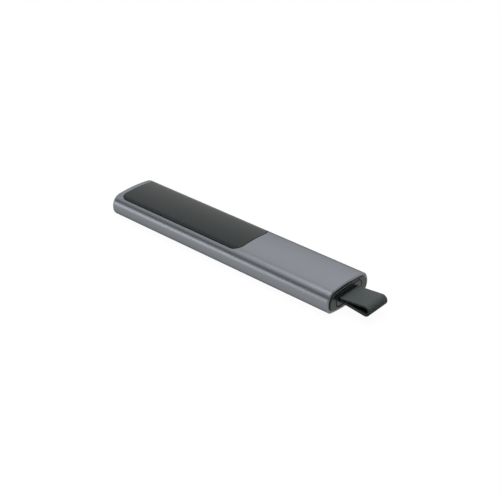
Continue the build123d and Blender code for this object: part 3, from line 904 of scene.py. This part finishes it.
class BandRecipe(NodeRecipe):
    """Runs a flat band with rounded edges along a path in the XZ plane."""

    EDGE_STEPS = 5

    def __init__(self) -> None:
        """Build the tree."""
        sizes = ("Width", "Thickness", "Edge Radius")
        inputs = {"Path": "NodeSocketObject", **dict.fromkeys(sizes, "NodeSocketFloat")}
        super().__init__("band_along_path", inputs)
        path = self.node("GeometryNodeObjectInfo", {"Object": self.given["Path"]})
        upright = self.node(
            "GeometryNodeSetCurveNormal",
            {"Curve": path.outputs["Geometry"], "Normal": (0.0, 1.0, 0.0)},
            mode="FREE",
        )
        outline = self.node(
            "GeometryNodeCurvePrimitiveQuadrilateral",
            {"Width": self.given["Width"], "Height": self.given["Thickness"]},
        )
        rounded = self.node(
            "GeometryNodeFilletCurve",
            {
                "Curve": outline.outputs["Curve"],
                "Radius": self.given["Edge Radius"],
                "Count": self.EDGE_STEPS,
            },
            mode="POLY",
        )
        band = self.node(
            "GeometryNodeCurveToMesh",
            {
                "Curve": upright.outputs["Curve"],
                "Profile Curve": rounded.outputs["Curve"],
                "Fill Caps": True,
            },
        )
        self.finish(band.outputs["Mesh"])


# ---------------------------------------------------------------------------
# Sub-assemblies
# ---------------------------------------------------------------------------
@dataclass
class Housing:
    """The aluminium tube and the dark panel let into its back."""

    section: BodySection
    wrap: WrapRecipe
    wall: float = 1.25 * MM
    front_wall: float = 1.5 * MM
    front_radius: float = 1.2 * MM
    rim_chamfer: tuple[float, float] = (0.45 * MM, 0.45 * MM)
    opening_chamfer: tuple[float, float] = (0.25 * MM, 0.5 * MM)
    opening_growth: float = 0.1 * MM
    opening_shift: float = 0.2 * MM
    panel_chamfer: tuple[float, float] = (0.05 * MM, 0.05 * MM)
    # the next two place the thin black film that paints the shade in the panel's gap: how far under
    # the skin its top stands, and how thick it is
    painted_gap_shade_depth: float = 0.08 * MM
    painted_gap_shade_width: float = 0.06 * MM
    softness: float = 0.015 * MM
    near: float = 0.015 * MM
    panel_play: float = 0.25 * MM
    panel_gap: float = 0.18 * MM
    panel_corner: float = 4.0 * MM
    panel_thickness: float = 0.6 * MM
    glue_thickness: float = 0.1 * MM
    ledge: float = 1.6 * MM
    edge_radius: float = 0.05 * MM
    support: float = 0.1 * MM
    column_step: float = 1.5 * MM
    flange_reach: float = 0.9 * MM
    button_play: float = 0.12 * MM
    pipe_radius: float = 0.7 * MM
    pipe_play: float = 0.05 * MM
    small_hole: float = 2.0 * MM
    hole_points: int = 72
    small_hole_points: int = 24
    front_faces: int = 8
    inner_thinning: int = 4
    panel_thinning: int = 3

    def panel_opening(self) -> RoundedRectangle:
        """Outline of the opening for the back panel, seen from above.

        Returns:
            The outline.
        """
        low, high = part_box("back_panel")
        length = high.x - low.x + 2 * self.panel_play + self.opening_growth
        width = high.y - low.y + 2 * self.panel_play
        middle = (low.x + high.x) / 2 + self.opening_shift
        return RoundedRectangle((middle, 0.0), length, width, self.panel_corner)

    def holes(self) -> list[tuple[tuple[float, float], float]]:
        """The round holes in the button face.

        Returns:
            Centre and radius of each.
        """
        found = []
        for name in ("pointer_button", "next_button", "back_button"):
            low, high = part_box(name)
            radius = (high.y - low.y) / 2 - self.flange_reach + self.button_play
            found.append((((low.x + high.x) / 2, 0.0), radius))
        low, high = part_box("status_led")
        found.append((((low.x + high.x) / 2, 0.0), self.pipe_radius + self.pipe_play))
        return found

    def _loop(self, draft: MeshDraft, flat: np.ndarray, depth: float, upper: bool) -> list[int]:
        """An outline given by X and Y as a ring of the flat pattern.

        Args:
            draft: The draft that takes the points.
            flat: The outline's X and Y.
            depth: Depth under the skin.
            upper: True on the back.

        Returns:
            The ring.
        """
        along = self.section.strip(flat[:, 1], depth, upper)
        return draft.flat_ring(np.column_stack([flat[:, 0], along]), depth)

    def _columns(
        self, draft: MeshDraft, steps: Sequence[tuple[float, float]]
    ) -> list[list[int]]:
        """Columns of the flat pattern all round the section, with the faces between.

        Args:
            draft: The draft that takes the points and faces.
            steps: Pairs of X and depth.

        Returns:
            The columns.
        """
        rows = self.section.rows
        columns = [
            draft.flat_ring(np.column_stack([np.full(len(rows), x), rows]), depth)
            for x, depth in steps
        ]
        draft.stack(columns, closed=False)
        return columns

    def _edge(self, draft: MeshDraft, steps: Sequence[tuple[float, float]]) -> list[list[int]]:
        """The panel's outline at several insets and depths, with the faces between.

        Args:
            draft: The draft that takes the points and faces.
            steps: Pairs of inset and depth.

        Returns:
            The rings.
        """
        opening = self.panel_opening()
        rings = [self._loop(draft, opening.points(inset), depth, True) for inset, depth in steps]
        draft.stack(rings)
        return rings

    def _spots(
        self, columns: np.ndarray, rows: np.ndarray, rims: Sequence[np.ndarray], within: bool
    ) -> np.ndarray:
        """Points on a grid that keep clear of some outlines.

        Args:
            columns: The grid's X.
            rows: The grid's distances round the section.
            rims: The outlines.
            within: True to keep the points inside them, False for those outside.

        Returns:
            Points as pairs.
        """
        xs, ys = np.meshgrid(columns, rows, indexing="ij")
        spots = np.column_stack([xs.ravel(), ys.ravel()])
        for rim in rims:
            gap = np.min(np.linalg.norm(spots[:, None, :] - rim[None, :, :], axis=2), axis=1)
            spots = spots[(gap > SPOT_CLEARANCE) & (inside(spots, rim) == within)]
        return spots

    def _spread(
        self,
        draft: MeshDraft,
        ends: tuple[list[int], list[int]],
        holes: list[list[int]],
        depth: float,
        thin: int = 1,
    ) -> None:
        """Fill the flat pattern between two columns.

        Args:
            draft: The draft that takes the faces.
            ends: The front and rear columns.
            holes: Rings round the holes.
            depth: Depth under the skin.
            thin: One row in this many has points inside.
        """
        rows = self.section.rows
        front, rear = draft.points[ends[0][0]][0], draft.points[ends[1][0]][0]
        count = max(2, round((rear - front) / self.column_step))
        columns = np.linspace(front, rear, count + 1)[1:-1]
        near = draft.ring((x, 0.0, depth) for x in columns)
        far = draft.ring((x, rows[-1], depth) for x in columns)
        outline = [*ends[0][::-1], *near, *ends[1], *far[::-1]]
        rims = [np.array([draft.points[n][:2] for n in hole]) for hole in holes]
        spots = self._spots(columns, rows[1:-1][::thin], rims, within=False)
        middle = draft.flat_ring(spots, depth)
        draft.fill((0, 1), outline, holes, middle)

    def shell(self) -> bpy.types.Object:
        """The tube, with its openings and its rounded front.

        Returns:
            The piece.
        """
        draft = MeshDraft()
        low, high = self.section.low, self.section.high
        soft, near = self.softness, self.near
        floor = self.panel_thickness + self.glue_thickness
        steps = [(-left, depth) for left, depth in chamfering(self.opening_chamfer, soft, near)]
        steps += [(0.0, floor), (self.ledge, floor), (self.ledge, self.wall)]
        rings = self._edge(draft, steps)
        outer_holes, inner_holes = [rings[0]], [rings[-1]]

        for middle, radius in self.holes():
            count = self.hole_points if radius > self.small_hole else self.small_hole_points
            steps = [(self.edge_radius + self.support, 0.0), *rounding(self.edge_radius)]
            steps += [(0.0, self.edge_radius + self.support), (0.0, self.wall)]
            rings = [
                self._loop(draft, circle(middle, radius + left, count), depth, False)
                for left, depth in steps
            ]
            draft.stack(rings)
            outer_holes.append(rings[0])
            inner_holes.append(rings[-1])

        front = [(low.x + self.front_radius + self.support, 0.0)]
        curve = rounding(self.front_radius, self.front_faces)
        front += [(low.x + left, depth) for left, depth in curve]
        front += [(low.x, self.front_radius + self.support), (low.x, 2 * self.front_radius)]
        front_columns = self._columns(draft, front)
        draft.faces.append(front_columns[-1][:-1])

        rim = [(high.x - left, depth) for left, depth in chamfering(self.rim_chamfer, soft, near)]
        rim += [(high.x, self.wall - soft - near), (high.x, self.wall - soft)]
        rim += [(high.x - soft, self.wall), (high.x - soft - near, self.wall)]
        rim_columns = self._columns(draft, rim)

        inner_front = self._columns(draft, [(low.x + self.front_wall, self.wall)])[0]
        draft.faces.append(inner_front[:-1])
        self._spread(draft, (front_columns[0], rim_columns[0]), outer_holes, 0.0)
        inner_ends = (inner_front, rim_columns[-1])
        self._spread(draft, inner_ends, inner_holes, self.wall, self.inner_thinning)
        return self._wrapped(draft, "housing_shell", ANODISED)

    def panel(self) -> bpy.types.Object:
        """The back panel, flush with the skin.

        Returns:
            The piece.
        """
        draft = MeshDraft()
        gap, bottom = self.panel_gap, self.panel_thickness
        edge = chamfering(self.panel_chamfer, self.softness, self.near)
        rings = self._edge(draft, [(gap + left, depth) for left, depth in edge] + [(gap, bottom)])
        for ring, depth, thin in ((rings[0], 0.0, 1), (rings[-1], bottom, self.panel_thinning)):
            rim = np.array([draft.points[n][:2] for n in ring])
            start = rim[:, 0].min() + self.column_step / 2
            columns = np.arange(start, rim[:, 0].max(), self.column_step)
            spots = self._spots(columns, self.section.rows[::thin], [rim], within=True)
            middle = draft.flat_ring(spots, depth)
            draft.fill((0, 1), ring, (), middle)
        return self._wrapped(draft, "back_panel_inlay", PANEL_PLASTIC)

    def glue_and_gap_shade(self) -> bpy.types.Object:
        """The glue frame under the panel, and a thin black film up the gap round the panel's edge
        that paints the gap's shade.

        Returns:
            The piece.
        """
        draft = MeshDraft()
        inner, outer = self.panel_gap, self.panel_gap - self.painted_gap_shade_width
        top, bottom = self.panel_thickness, self.panel_thickness + self.glue_thickness
        # the steps at the film's depth run a thin black film up the gap to just under the skin,
        # which is painted shade of the deep gap; the steps at the ledge are the real glue frame
        # under the panel
        steps = [(inner, self.painted_gap_shade_depth), (outer, self.painted_gap_shade_depth), (outer, bottom)]
        steps += [(self.ledge, bottom), (self.ledge, top), (inner, top)]
        rings = self._edge(draft, steps)
        draft.bridge(rings[-1], rings[0])
        return self._wrapped(draft, "panel_seam", FOAM)

    def _wrapped(self, draft: MeshDraft, name: str, finish: Finish) -> bpy.types.Object:
        """A flat pattern wrapped round the section.

        Args:
            draft: The flat pattern.
            name: The piece's name.
            finish: Its finish.

        Returns:
            The piece.
        """
        path = self.section.curve_object()
        values = {"Section": path, "Weld": WELD}
        piece = self.wrap.grow(name, draft.mesh(f"{name}_flat"), values, finish)
        bpy.data.objects.remove(path)
        return piece

    def build(self) -> None:
        """Make the pieces and hang them on the body."""
        fit(self.shell(), "clicker", "shell_aluminium", "housing")
        fit(self.panel(), "clicker", "panel_plastic", "back_panel")
        fit(self.glue_and_gap_shade(), "clicker", "foam_tape", "panel_adhesive")


@dataclass
class Buttons:
    """The three round dished buttons of the face that lies down."""

    section: BodySection
    names: tuple[str, ...] = ("pointer", "next", "back")
    dishes: tuple[float, ...] = (0.25 * MM, 0.45 * MM, 0.3 * MM)
    recess: float = 0.1 * MM
    dish_share: float = 0.8
    edge_radius: float = 0.15 * MM
    rim_blend: float = 0.04 * MM
    wall: float = 1.25 * MM
    flange_play: float = 0.06 * MM
    flange_reach: float = 0.9 * MM
    flange_top: float = 1.75 * MM
    stem_radius: float = 0.9 * MM
    turns: int = 96
    face_rings: int = 24

    def _face_ring(
        self, middle: tuple[float, float], radius: float, dish: float, ball: float
    ) -> np.ndarray:
        """Ring of the outer face: the body's own surface with the dish sunk in it.

        Args:
            middle: The button's centre.
            radius: The ring's radius.
            dish: The dish's depth.
            ball: The dish's sphere radius.

        Returns:
            The ring's points.
        """
        flat = circle(middle, radius, self.turns)
        surface = self.section.level(flat[:, 1], self.recess, False)
        top = self.recess + dish - ball + math.sqrt(max(0.0, ball**2 - radius**2))
        blend = self.rim_blend
        heights = (surface + top + np.sqrt((surface - top) ** 2 + blend**2) - blend) / 2
        return np.column_stack([flat, heights])

    def _button(self, name: str, dish: float) -> bpy.types.Object:
        """One button with its flange and stem.

        Args:
            name: The button's name.
            dish: The dish's depth.

        Returns:
            The piece.
        """
        low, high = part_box(f"{name}_button")
        middle = ((low.x + high.x) / 2, (low.y + high.y) / 2)
        outer = (high.y - low.y) / 2
        radius = outer - self.flange_reach
        reach = self.dish_share * radius
        ball = (reach**2 + dish**2) / (2 * dish)
        draft = MeshDraft()
        radii = np.linspace(radius / self.face_rings, radius - self.edge_radius, self.face_rings)
        rings = [draft.ring(self._face_ring(middle, r, dish, ball)) for r in radii]
        draft.faces.append(rings[0])
        seat = self.wall + self.flange_play
        edge = rounding(self.edge_radius)[1:]
        bent = [(radius - left, self.recess + depth) for left, depth in edge]
        for r, depth in (*bent, (radius, seat), (outer, seat)):
            flat = circle(middle, r, self.turns)
            level = self.section.level(flat[:, 1], depth, False)
            rings.append(draft.ring(np.column_stack([flat, level])))
        top, stem = self.flange_top, self.stem_radius
        for r, height in ((outer, top), (stem, top), (stem, high.z)):
            flat = circle(middle, r, self.turns)
            rings.append(draft.flat_ring(flat, height))
        draft.stack(rings)
        draft.faces.append(rings[-1])
        return solid(draft, f"{name}_button_cap", BUTTON_METAL)

    def build(self) -> None:
        """Make the three buttons and hang each on its own body."""
        for name, dish in zip(self.names, self.dishes):
            fit(self._button(name, dish), name, "button_aluminium", f"{name}_button")


@dataclass
class TailEnd:
    """The end cap and the receiver's moulded body, seen at the open tail."""

    section: BodySection
    inset: float = 1.37 * MM
    reach: float = 3.8 * MM
    cap_edge: float = 0.3 * MM
    mouth_chamfer: float = 0.15 * MM
    opening: tuple[float, float, float] = (17.45 * MM, 7.05 * MM, 2.425 * MM)
    receiver_edge: float = 0.16 * MM
    face_relief: float = 0.2 * MM
    relief_length: float = 1.4 * MM
    receiver_radius: float = 2.3 * MM
    receiver_wall: float = 0.8 * MM
    receiver_face: float = 1.85 * MM
    slot: tuple[float, float, float] = (13.7 * MM, 2.4 * MM, 0.9 * MM)
    slot_drop: float = 0.3 * MM
    support: float = 0.03 * MM
    straight_step: float = 0.8 * MM
    corner_turn: float = 7.5
    cap_faces: int = 5
    receiver_faces: int = 4

    @property
    def centre_height(self) -> float:
        """Height of the receiver's centre line."""
        low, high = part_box("receiver_body")
        return (low.z + high.z) / 2

    def _outline(self, size: tuple[float, float, float], height: float) -> RoundedRectangle:
        """A rounded rectangle across the body, round a height."""
        return RoundedRectangle((0.0, height), *size, self.straight_step, self.corner_turn)

    def _sleeve(
        self, draft: MeshDraft, outline: RoundedRectangle, steps: Sequence[tuple[float, float]]
    ) -> list[list[int]]:
        """Rings of an outline that stand across the body, with the faces between.

        Args:
            draft: The draft that takes the points and faces.
            outline: The outline.
            steps: Pairs of inset and X.

        Returns:
            The rings.
        """
        rings = []
        for inset, x in steps:
            flat = outline.points(inset)
            rings.append(draft.ring(np.column_stack([np.full(len(flat), x), flat])))
        draft.stack(rings)
        return rings

    def cap(self) -> bpy.types.Object:
        """The end cap, with its rounded outer edge and the receiver's opening.

        Returns:
            The piece.
        """
        draft = MeshDraft()
        face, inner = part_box("end_cap")[1].x, self.section.high.x - self.reach
        outer = [(inner, self.inset), (face - self.cap_edge - self.support, self.inset)]
        curve = rounding(self.cap_edge, self.cap_faces)
        outer += [(face - left, self.inset + depth) for left, depth in curve]
        outer += [(face, self.inset + self.cap_edge + self.support)]
        outer_rings = [draft.ring(self.section.ring(x, depth)) for x, depth in outer]
        draft.stack(outer_rings)
        mouth = self._outline(self.opening, self.centre_height)
        cut = self.mouth_chamfer
        steps = [(-cut - self.support, face), (-cut, face), (0.0, face - cut)]
        steps += [(0.0, face - cut - self.support), (0.0, inner)]
        mouth_rings = self._sleeve(draft, mouth, steps)
        draft.fill((1, 2), outer_rings[-1], [mouth_rings[0]])
        draft.fill((1, 2), outer_rings[0], [mouth_rings[-1]])
        return solid(draft, "tail_cap", CAP_PLASTIC)

    def receiver(self) -> bpy.types.Object:
        """The receiver's hollow body, with the tab's slot in its face.

        Returns:
            The piece.
        """
        draft = MeshDraft()
        low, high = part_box("receiver_body")
        size = (high.y - low.y, high.z - low.z, self.receiver_radius)
        outline = self._outline(size, self.centre_height)
        edge, face = self.receiver_edge, high.x
        relief, shoulder = self.face_relief, face - self.relief_length
        steps = [(0.0, low.x), (0.0, shoulder), (relief, shoulder + relief)]
        steps += [(relief, face - edge - self.support)]
        curve = rounding(edge, self.receiver_faces)
        steps += [(relief + depth, face - left) for left, depth in curve]
        steps += [(relief + edge + self.support, face)]
        outer = self._sleeve(draft, outline, steps)
        slot = self._outline(self.slot, self.centre_height - self.slot_drop)
        cavity = face - self.receiver_face
        slot_steps = [(-2 * self.support, face), (-self.support, face), (0.0, face - self.support)]
        slot_steps += [(0.0, face - 2 * self.support), (0.0, cavity)]
        slot_rings = self._sleeve(draft, slot, slot_steps)
        draft.fill((1, 2), outer[-1], [slot_rings[0]])
        wall = self.receiver_wall
        hollow = self._sleeve(draft, outline, [(wall, cavity), (wall, low.x)])
        draft.fill((1, 2), hollow[0], [slot_rings[-1]])
        draft.bridge(outer[0], hollow[-1])
        return solid(draft, "receiver_case", RECEIVER_PLASTIC)

    def build(self) -> None:
        """Make both pieces and hang them on their bodies."""
        fit(self.cap(), "clicker", "cap_plastic", "end_cap")
        fit(self.receiver(), "receiver", "receiver_plastic", "receiver_body")


@dataclass
class PullTab:
    """The soft band, doubled into a loop, that pulls the receiver out."""

    recipe: BandRecipe
    width: float = 12.7 * MM
    thickness: float = 1.0 * MM
    edge_radius: float = 0.24 * MM
    layer_rise: float = 0.51 * MM
    fold_height: float = 4.9 * MM
    drop: float = 0.08 * MM
    root_drop: float = 0.3 * MM
    anchor_length: float = 1.15 * MM
    fold_points: int = 40

    def path(self) -> bpy.types.Object:
        """Centre line of the band: straight out, round the fold and straight back.

        Returns:
            The path.
        """
        low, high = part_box("pull_tab")
        receiver_low, receiver_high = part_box("receiver_body")
        level = (receiver_low.z + receiver_high.z) / 2 - self.root_drop
        fold = Vector((high.x - self.fold_height / 2, level - self.drop))
        bend = (self.fold_height - self.thickness) / 2
        root = low.x + self.anchor_length / 2
        layers, leans = [], []
        for side in (1, -1):
            start = Vector((receiver_high.x, level + side * self.layer_rise))
            run = fold - start
            slope = math.atan2(run.y, run.x) + side * math.asin(bend / run.length)
            layers.append([(root, start.y), tuple(start)])
            leans.append(slope + side * math.pi / 2)
        turns = np.linspace(leans[0], leans[1], self.fold_points)
        bow = [(fold.x + bend * math.cos(turn), fold.y + bend * math.sin(turn)) for turn in turns]
        points = [*layers[0], *bow, *layers[1][::-1]]
        return polyline("tab_path", [(x, 0.0, z) for x, z in points])

    def build(self) -> None:
        """Make the band and hang it on the receiver."""
        path = self.path()
        values = {
            "Path": path,
            "Width": self.width,
            "Thickness": self.thickness,
            "Edge Radius": self.edge_radius,
        }
        band = self.recipe.grow("pull_band", bpy.data.meshes.new("band_seed"), values, TAB_RUBBER)
        bpy.data.objects.remove(path)
        fit(band, "receiver", "tab_rubber", "pull_tab")


def dress_cad_nodes() -> None:
    """Give each CAD node the finish of its material slot."""
    slots = {part["node"]: part["material_slot"] for part in frame["record"]["subparts"]}
    for name, node in frame["nodes"].items():
        finish = SLOT_FINISHES[slots[name]]
        if node.material_slots:
            for holder in node.material_slots:
                holder.material = finish.material()
        else:
            node.data.materials.append(finish.material())
        LOG.info("%s keeps its CAD shape in %s", name, finish.name)


# ---------------------------------------------------------------------------
# Studio
# ---------------------------------------------------------------------------
@dataclass(frozen=True)
class Strip:
    """A long lamp or card that leans from overhead towards a heading: -Y at 0, +X at 90."""

    name: str
    lean: float
    spread: float
    radiance: float
    heading: float = 0.0
    shift: float = 0.0
    distance: float = 0.9
    length: float = 3.0

    @property
    def width(self) -> float:
        """Width that covers the spread, seen from the body."""
        return 2 * self.distance * math.tan(math.radians(self.spread) / 2)

    def place(self, item: bpy.types.Object) -> None:
        """Put an object at the strip's place, with its -Z towards the body.

        Args:
            item: The lamp or card.
        """
        turn = Euler((math.radians(self.lean), 0.0, math.radians(self.heading)))
        item.location = turn.to_matrix() @ Vector((self.shift, 0.0, self.distance))
        item.rotation_euler = turn


@dataclass
class Studio:
    """Pale floor, white surroundings, lamps, two dark cards and the camera."""

    eye: tuple[float, float, float] = (262.529 * MM, -289.503 * MM, 233.423 * MM)
    azimuth: float = 41.849
    elevation: float = 30.4
    focal_pixels: float = 1004.146
    image_pixels: float = 500.0
    sensor: float = 36.0
    clip: tuple[float, float] = (0.01, 20.0)
    fill_level: float = 0.06
    softbox: Strip = Strip("softbox", 5.0, 45.0, 13.7, distance=1.4, length=1.4)
    floor_size: float = 6.0
    floor_drop: float = 0.1 * MM
    floor_colour: Colour = (0.12, 0.12, 0.12)
    floor_share: float = 0.6
    floor_glow: float = 1.6
    card_colour: Colour = (0.9, 1.0, 1.04)
    lamps: tuple[Strip, ...] = (
        Strip("shoulder_lamp", 10.0, 20.0, 5.5, shift=1.0),
        Strip("ridge_lamp", 82.0, 10.0, 9.5, shift=-1.95),
        Strip("crown_lamp", -58.0, 48.0, 1.6),
    )
    cards: tuple[Strip, ...] = (
        Strip("shoulder_card", 53.0, 26.0, 0.15),
        Strip("tail_card", 66.0, 52.0, 0.45, heading=90.0),
    )

    def camera(self) -> None:
        """The camera, at its fitted place and focal length."""
        data = bpy.data.cameras.new("camera")
        data.sensor_width = self.sensor
        data.lens = self.focal_pixels * self.sensor / self.image_pixels
        data.clip_start, data.clip_end = self.clip
        camera = link_object("camera", data)
        camera.location = self.eye
        camera.rotation_euler = (math.radians(90 - self.elevation), 0.0, math.radians(self.azimuth))
        bpy.context.scene.camera = camera

    def _seen(self, tree: bpy.types.NodeTree) -> bpy.types.NodeSocket:
        """Whether a ray comes from the camera, a gloss or a clear piece.

        Args:
            tree: The tree of the material or world.

        Returns:
            Socket that is 1 for such rays and 0 for the others.
        """
        path = add_node(tree, "ShaderNodeLightPath").outputs
        seen = path["Is Camera Ray"]
        for ray in ("Is Glossy Ray", "Is Transmission Ray"):
            either = add_node(tree, "ShaderNodeMath", {0: seen, 1: path[ray]}, operation="MAXIMUM")
            seen = either.outputs["Value"]
        return seen

    def world(self) -> None:
        """Surroundings that show white, with a faint fill for the shading."""
        world = bpy.data.worlds.new("surroundings")
        world.use_nodes = True
        tree = world.node_tree
        level = add_node(
            tree,
            "ShaderNodeMapRange",
            {"Value": self._seen(tree), "To Min": self.fill_level, "To Max": 1.0},
        )
        values = {"Color": (1.0, 1.0, 1.0, 1.0), "Strength": level.outputs["Result"]}
        feed(tree.nodes["Background"], values)
        bpy.context.scene.world = world

    def _sheet(
        self, name: str, title: str, sides: tuple[float, float], level: float = 0.0
    ) -> tuple[bpy.types.Object, bpy.types.NodeTree]:
        """A flat rectangle of the studio, with a material that has no shader yet.

        Args:
            name: The sheet's name.
            title: Its material's name.
            sides: Its two sides.
            level: Its height.

        Returns:
            The sheet and its material's tree.
        """
        draft = MeshDraft()
        length, width = sides
        corners = [(x * length / 2, y * width / 2) for x, y in CORNERS]
        draft.faces.append(draft.flat_ring(np.array(corners), level))
        sheet = link_object(name, draft.mesh(name))
        material = bpy.data.materials.new(title)
        material.use_nodes = True
        tree = material.node_tree
        tree.nodes.remove(tree.nodes["Principled BSDF"])
        sheet.data.materials.append(material)
        return sheet, tree

    def floor(self) -> None:
        """The plain pale floor."""
        sides = (self.floor_size, self.floor_size)
        floor, tree = self._sheet("floor", "pale_floor", sides, -self.floor_drop)
        matte = add_node(tree, "ShaderNodeBsdfDiffuse", {"Color": (*self.floor_colour, 1.0)})
        white = add_node(tree, "ShaderNodeEmission", {"Strength": self.floor_glow})
        share = add_node(
            tree,
            "ShaderNodeMath",
            {0: self._seen(tree), 1: self.floor_share},
            operation="MULTIPLY",
        )
        mix = add_node(
            tree,
            "ShaderNodeMixShader",
            {"Fac": share.outputs["Value"], 1: matte.outputs["BSDF"], 2: white.outputs["Emission"]},
        )
        feed(tree.nodes["Material Output"], {"Surface": mix.outputs["Shader"]})

    def _lamp(self, strip: Strip) -> bpy.types.Object:
        """A plain rectangular lamp that the camera doesn't see.

        Args:
            strip: Its size, its place and how bright it is, where the surroundings are 1.

        Returns:
            The lamp.
        """
        data = bpy.data.lights.new(strip.name, "AREA")
        data.shape = "RECTANGLE"
        data.size, data.size_y = strip.length, strip.width
        data.energy = strip.radiance * strip.length * strip.width
        lamp = link_object(strip.name, data)
        lamp.visible_camera = False
        strip.place(lamp)
        return lamp

    def light(self) -> None:
        """Strip lamps that only make highlights, and a softbox that makes none."""
        for strip in self.lamps:
            self._lamp(strip).visible_diffuse = False
        self._lamp(self.softbox).visible_glossy = False

    def flags(self) -> None:
        """Dark cards beside the body and beyond its tail, seen only in reflections."""
        for strip in self.cards:
            card, tree = self._sheet(strip.name, strip.name, (strip.length, strip.width))
            values = {"Color": (*self.card_colour, 1.0), "Strength": strip.radiance}
            face = add_node(tree, "ShaderNodeEmission", values)
            feed(tree.nodes["Material Output"], {"Surface": face.outputs["Emission"]})
            card.visible_camera = card.visible_diffuse = card.visible_shadow = False
            strip.place(card)

    def build(self) -> None:
        """Set up the whole studio."""
        self.camera()
        self.world()
        self.floor()
        self.light()
        self.flags()
        bpy.context.scene.view_settings.view_transform = "Standard"


def main() -> None:
    """Build each sub-assembly in order."""
    logging.basicConfig(level=logging.INFO, format="%(name)s: %(message)s")
    low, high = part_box("housing")
    section = BodySection(low, high)
    dress_cad_nodes()
    Housing(section, WrapRecipe()).build()
    Buttons(section).build()
    TailEnd(section).build()
    PullTab(BandRecipe()).build()
    Studio().build()


if __name__ == "__main__":
    main()
